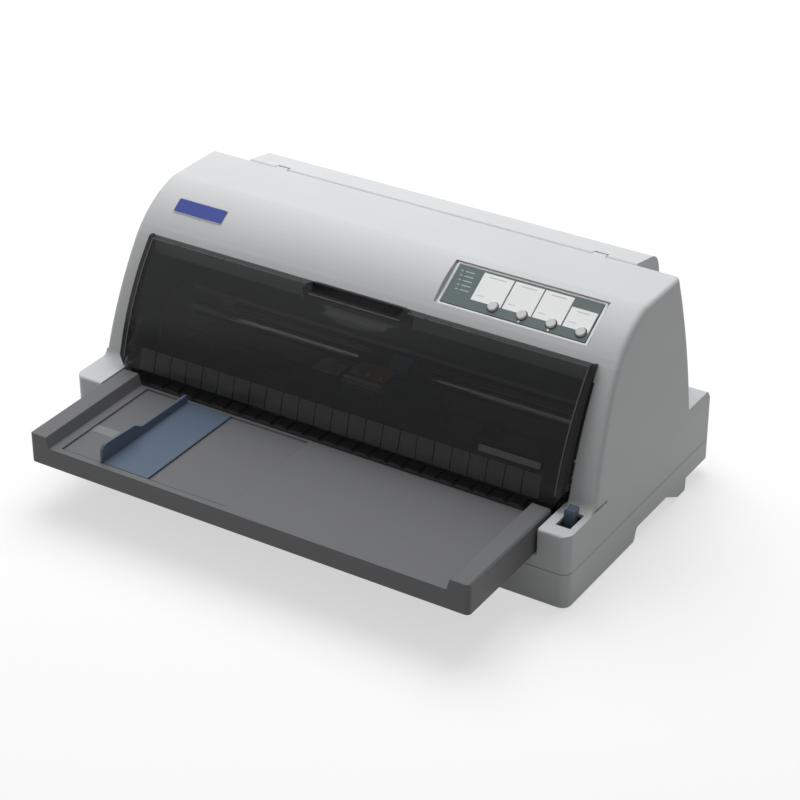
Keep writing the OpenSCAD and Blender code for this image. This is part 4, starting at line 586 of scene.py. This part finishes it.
def onCover(x, t, lift):
    # the cover's outer face: one arc, t = 0 at its lower edge and t = 1 at its upper edge, swept along X
    low, top = np.array(coverArc["low"]), np.array(coverArc["top"])
    chord = top - low
    half = np.hypot(*chord) / 2
    ahead = chord / (2 * half)
    depth = math.sqrt(coverArc["radius"] ** 2 - half ** 2)
    middle = (low + top) / 2 + depth * np.array([ahead[1], -ahead[0]])
    start = math.atan2(*(low - middle)[::-1])
    sweep = (math.atan2(*(top - middle)[::-1]) - start + math.pi) % (2 * math.pi) - math.pi
    angle = start + sweep * np.asarray(t, float)
    reach = coverArc["radius"] + lift
    x, angle = np.broadcast_arrays(x, angle)
    return np.stack([x, middle[0] + reach * np.cos(angle), middle[1] + reach * np.sin(angle)], -1)


def coverPatch(left, right, low, high, inner, outer, across=2, steps=2):
    # a piece of the cover's arc between two x and two t, from the lift inner to the lift outer
    x = np.linspace(left, right, across)[None, :]
    t = np.linspace(low, high, steps)[:, None]
    return shell(onCover(x, t, inner), onCover(x, t, outer))


coverHighlights = {"side": 0.2096, "width": 0.0011, "topLow": 0.983, "topHigh": 0.993, "height": 0.00045,
              "sideLow": 0.07, "sink": 0.0002, "notchEnd": 0.007, "lineEnd": 0.002, "line": (0.918, 0.926),
              "sideSteps": 33}


def makeCoverHighlights():
    # raised lines, paler than the smoke as painted highlight along the cover's edges: below the upper edge,
    # broken by the finger notch, below the notch and down each side
    lifts = -coverHighlights["sink"], coverHighlights["height"]
    end = coverHighlights["side"] + coverHighlights["width"]
    notchEnd = scoop["half"] + coverHighlights["notchEnd"]
    spans = [(-end, scoop["x"] - notchEnd), (scoop["x"] + notchEnd, end)]
    shells = [coverPatch(*span, coverHighlights["topLow"], coverHighlights["topHigh"], *lifts) for span in spans]
    for sign in (-1, 1):
        edges = sorted((sign * coverHighlights["side"], sign * end))
        shells.append(coverPatch(*edges, coverHighlights["sideLow"], coverHighlights["topLow"], *lifts, 2,
                                 coverHighlights["sideSteps"]))
    lineEnd = scoop["half"] + coverHighlights["lineEnd"]
    shells.append(coverPatch(scoop["x"] - lineEnd, scoop["x"] + lineEnd, *coverHighlights["line"], *lifts))
    makePiece("coverHighlights", *joined(shells), "bead", "front_cover", "smoke_plastic")


lipRibs = {"count": 24, "pitch": 0.0163, "width": 0.0150, "low": 0.005, "high": 0.175, "proud": 0.0010,
           "sink": 0.0003, "steps": 6}


def makeLipRibs():
    # a row of square pads behind the cover's lower edge
    inner = -coverArc["thick"]
    first = -lipRibs["pitch"] * (lipRibs["count"] - 1) / 2
    half = lipRibs["width"] / 2
    shells = []
    for number in range(lipRibs["count"]):
        x = first + number * lipRibs["pitch"]
        shells.append(coverPatch(x - half, x + half, lipRibs["low"], lipRibs["high"],
                                 inner - lipRibs["proud"], inner + lipRibs["sink"], 2, lipRibs["steps"]))
    makePiece("lipRibs", *joined(shells), "rib", "front_cover", "smoke_plastic")


washers = {"x": 0.215, "y": -0.044752, "z": 0.084, "radius": 0.0040, "steps": 32}
washerSection = [(0.005, 0.0), (1.0, 0.0), (1.0, 0.00028), (0.85, 0.0004), (0.005, 0.0004)]


def makeHingeWashers():
    # a flat washer over the outer end of each cover hinge pin
    rings = turnedRings(washerSection, washers["radius"], washers["steps"])
    shells = [stood(rings, (sign * washers["x"], washers["y"], washers["z"]), (0, sign, 0), alongZ)
              for sign in (-1, 1)]
    makePiece("hingeWashers", *joined(shells), "black", "front_cover", "smoke_plastic")


def makeScoopShade():
    # a dark half capsule in the finger hollow, painted shade for the shaded hollow: a half-round run with a
    # quarter of a ball at each end
    back = touch("upper_housing", (scoop["x"], scoop["feel"], scoop["z"]), alongY)[0]
    axisY = back[1] - scoop["radius"]
    ends = np.radians(np.linspace(0, scoop["tilt"], 7))
    straight = np.linspace(-scoop["half"], scoop["half"], 8)[1:-1]
    along = np.concatenate([-scoop["half"] + 0 * ends, straight, scoop["half"] + 0 * ends])
    tilt = np.concatenate([-ends[::-1], 0 * straight, ends])
    turn = np.radians(np.linspace(scoop["low"], scoop["high"], 14))[:, None]
    layers = []
    for inset in (scoop["lift"], scoop["lift"] + scoop["thick"]):
        r = scoop["radius"] - inset
        x = scoop["x"] + along + r * np.sin(tilt) + 0 * turn
        y = axisY + r * np.cos(tilt) * np.cos(turn)
        z = scoop["z"] + r * np.cos(tilt) * np.sin(turn)
        layers.append(np.stack([x, y, z], -1))
    makePiece("scoopShade", *shell(*layers), "bead", "case", "smoke_plastic")


gapShade = {"inner": 0.2126, "outer": 0.2158, "low": 0.094, "high": 0.1705, "steps": 14, "behind": 0.0006,
            "thick": 0.0010, "feel": 0.2190}


def makeGapShade():
    # a narrow dark strip behind the gap at each side of the cover, painted shade for the shaded gap: going
    # up, it follows the hood's own curve
    heights = np.linspace(gapShade["low"], gapShade["high"], gapShade["steps"])
    met = [touch("upper_housing", (gapShade["feel"], outside["front"], z), alongY)[0] for z in heights]
    hood = np.array(met)[:, 1, None]
    for name, side in (("leftGapShade", -1), ("rightGapShade", 1)):
        x = side * np.array([[gapShade["inner"], gapShade["outer"]]])
        layers = [np.stack(np.broadcast_arrays(x, hood + gapShade["behind"] + depth, heights[:, None]), -1)
                  for depth in (0.0, gapShade["thick"])]
        makePiece(name, *shell(*layers), "bead", "case", "smoke_plastic")


panelRim = {"length": 0.1372, "width": 0.0422, "corner": 0.0012, "band": 0.0022, "high": 0.0009,
            "edge": 0.0003, "sink": 0.0001, "feel": 0.03}


def makePanelRim():
    # a raised frame on the ledge round the panel, paler than the case: partly a real pale ledge, partly
    # painted highlight along it
    tilt = math.radians(panelFrame["tilt"])
    up = np.array([0.0, math.cos(tilt), math.sin(tilt)])
    normal = np.array([0.0, -math.sin(tilt), math.cos(tilt)])
    middle = np.array([panelFrame["x"], panelFrame["y"], panelFrame["z"]])
    edge = middle + up * (panelRim["width"] / 2 - panelRim["band"] / 2)
    ledge = touch("upper_housing", edge + normal * panelRim["feel"], -normal)[0]
    level = (ledge - middle) @ normal
    rings = frameRings(*[panelRim[key] for key in ("length", "width", "corner", "band", "high", "edge")])
    points, faces = stood(rings, middle, alongX, up, panelRim["sink"] - level, closedBand)
    makePiece("panelRim", points, faces, "rim", "case", "case_plastic")


railHighlight = {"y": 0.0314, "z": 0.112, "length": 0.396, "width": 0.0026, "corner": 0.0011, "thick": 0.0010,
           "edge": 0.0004, "sink": 0.0001}


def makeRailHighlight():
    # a pale strip on the rolled front edge on top of the long rail, painted highlight for its bright edge
    points, faces = plate(railHighlight, (0, railHighlight["y"], railHighlight["z"]), alongX, alongY)
    makePiece("railHighlight", points, faces, "rim", "case", "sheet_steel")


headCap = {"x": 0.0045, "y": 0.0035, "z": 0.0995, "length": 0.035, "width": 0.019, "corner": 0.0025,
           "thick": 0.0016, "edge": 0.0005, "sink": 0.0002}
headScrew = {"places": (-0.008, 0.0045, 0.017), "y": -0.0035, "length": 0.0036, "width": 0.0036,
             "corner": 0.0017, "thick": 0.0012, "edge": 0.0006, "sink": 0.0003}
headStrip = {"y": -0.0135, "length": 0.037, "width": 0.0030, "corner": 0.0012, "thick": 0.0014,
             "edge": 0.0004, "sink": 0.0002}


def makeHeadTop():
    # a bronze plate on the print head, three small screws at its front and a bright strip before it
    points, faces = plate(headCap, (headCap["x"], headCap["y"], headCap["z"]), alongX, alongY)
    makePiece("headPlate", points, faces, "bronze", "carriage", "head_aluminium")
    top = headCap["z"] + headCap["thick"]
    shells = [plate(headScrew, (x, headScrew["y"], top), alongX, alongY) for x in headScrew["places"]]
    shells.append(plate(headStrip, (headCap["x"], headStrip["y"], headCap["z"]), alongX, alongY))
    makePiece("headScrews", *joined(shells), "rim", "carriage", "shaft_steel")


cartridgeTop = {"x": -0.0375, "y": 0.002, "z": 0.093, "length": 0.026, "width": 0.018, "corner": 0.002,
                "thick": 0.0012, "edge": 0.0004, "sink": 0.0002}
ribbonKnob = {"radius": 0.00625, "steps": 72, "flutes": 12, "fluteDepth": 0.05, "fluted": 3, "sink": 0.0004}
knobSection = [(1.0, 0.0), (1.0, 0.0048), (0.93, 0.0055), (0.30, 0.0055), (0.26, 0.0045), (0.02, 0.0045)]


def makeCartridgeTop():
    # a pale plate on the ribbon cartridge with the round knob that winds the ribbon
    spot = np.array([cartridgeTop["x"], cartridgeTop["y"], cartridgeTop["z"]])
    knob = turnedRings(knobSection, ribbonKnob["radius"], ribbonKnob["steps"])
    turn = np.arange(ribbonKnob["steps"]) * 2 * np.pi / ribbonKnob["steps"]
    flutes = 1 + ribbonKnob["fluteDepth"] * np.cos(ribbonKnob["flutes"] * turn)
    knob[:ribbonKnob["fluted"], :, :2] *= flutes[:, None]  # only the knob's wall is fluted
    shells = [plate(cartridgeTop, spot, alongX, alongY),
              stood(knob, spot, alongX, alongY, ribbonKnob["sink"] - cartridgeTop["thick"])]
    makePiece("cartridgeTop", *joined(shells), "pale", "carriage", "black_plastic")


trayLabel = {"x": -0.170, "y": -0.136, "length": 0.024, "width": 0.011, "corner": 0.0012, "thick": 0.0003,
             "edge": 0.0001, "sink": 0.0001}


def makeTrayLabel():
    # a bare label on the tray's floor beside the edge guide
    spot = touch("front_tray", (trayLabel["x"], trayLabel["y"], outside["above"]), downward)[0]
    makePiece("trayLabel", *plate(trayLabel, spot, alongX, alongY), "trayInk", "case", "tray_plastic")


# each port's place along X and its width
portPlaces = [(0.060, 0.054), (0.128, 0.012), (0.168, 0.031)]
ports = {"z": 0.0285, "open": 0.011, "around": 0.0022, "corner": 0.0016, "band": 0.0018, "high": 0.0007,
         "edge": 0.0003, "sink": 0.0001, "feel": 0.004}
portPosts = {"ports": (0, 2), "beside": 0.0062, "radius": 0.0027, "steps": 6}
postSection = [(1.0, -0.0002), (1.0, 0.0026), (0.86, 0.0031), (0.46, 0.0031), (0.42, 0.0012), (0.02, 0.0012)]
ratingPlate = {"x": -0.052, "z": 0.029, "length": 0.074, "width": 0.021, "corner": 0.0018, "thick": 0.0004,
               "edge": 0.0002, "sink": 0.0001}


def makeRearTrim():
    # a low frame round each port, hexagonal screw posts beside the two wide ones, and a bare rating plate
    frames, posts = [], []
    post = turnedRings(postSection, portPosts["radius"], portPosts["steps"])
    for number, (x, width) in enumerate(portPlaces):
        start = (x + width / 2 + ports["feel"], outside["back"], ports["z"])
        y = touch("lower_case", start, forward)[0][1]
        rings = frameRings(width + 2 * ports["around"], ports["open"] + 2 * ports["around"], ports["corner"],
                           ports["band"], ports["high"], ports["edge"])
        frames.append(stood(rings, (x, y, ports["z"]), leftward, alongZ, ports["sink"], closedBand))
        if number in portPosts["ports"]:
            reach = width / 2 + portPosts["beside"]
            posts += [stood(post, (x + side * reach, y, ports["z"]), leftward, alongZ) for side in (-1, 1)]
    makePiece("portFrames", *joined(frames), "case", "case", "case_plastic")
    makePiece("portPosts", *joined(posts), "shaft", "case", "shaft_steel")
    spot = touch("lower_case", (ratingPlate["x"], outside["back"], ratingPlate["z"]), forward)[0]
    makePiece("ratingPlate", *plate(ratingPlate, spot, leftward, alongZ), "silver", "case", "sheet_steel")


slotPlate = {"x": -0.0990, "y": -0.17575, "z": 0.0492, "length": 0.1730, "width": 0.0155, "corner": 0.001,
             "thick": 0.0009, "edge": 0.0003, "sink": 0.0}


def makeSlotPlate():
    # a plate inside the tray that closes the view through the edge guide's slot
    middle = (slotPlate["x"], slotPlate["y"], slotPlate["z"])
    makePiece("slotPlate", *plate(slotPlate, middle, alongX, alongY), "black", "case", "tray_plastic")


makeSlotPlate()
makeRearTrim()
makeCoverHighlights()
makeLipRibs()
makeHingeWashers()
makeScoopShade()
makeGapShade()
makePanelRim()
makeRailHighlight()
makeHeadTop()
makeCartridgeTop()
makeTrayLabel()
print("scene: trim made")

makeFloor()
makeWorld()
makeLamps()
bpy.context.scene.view_settings.view_transform = "Standard"
print("scene: stage lit")
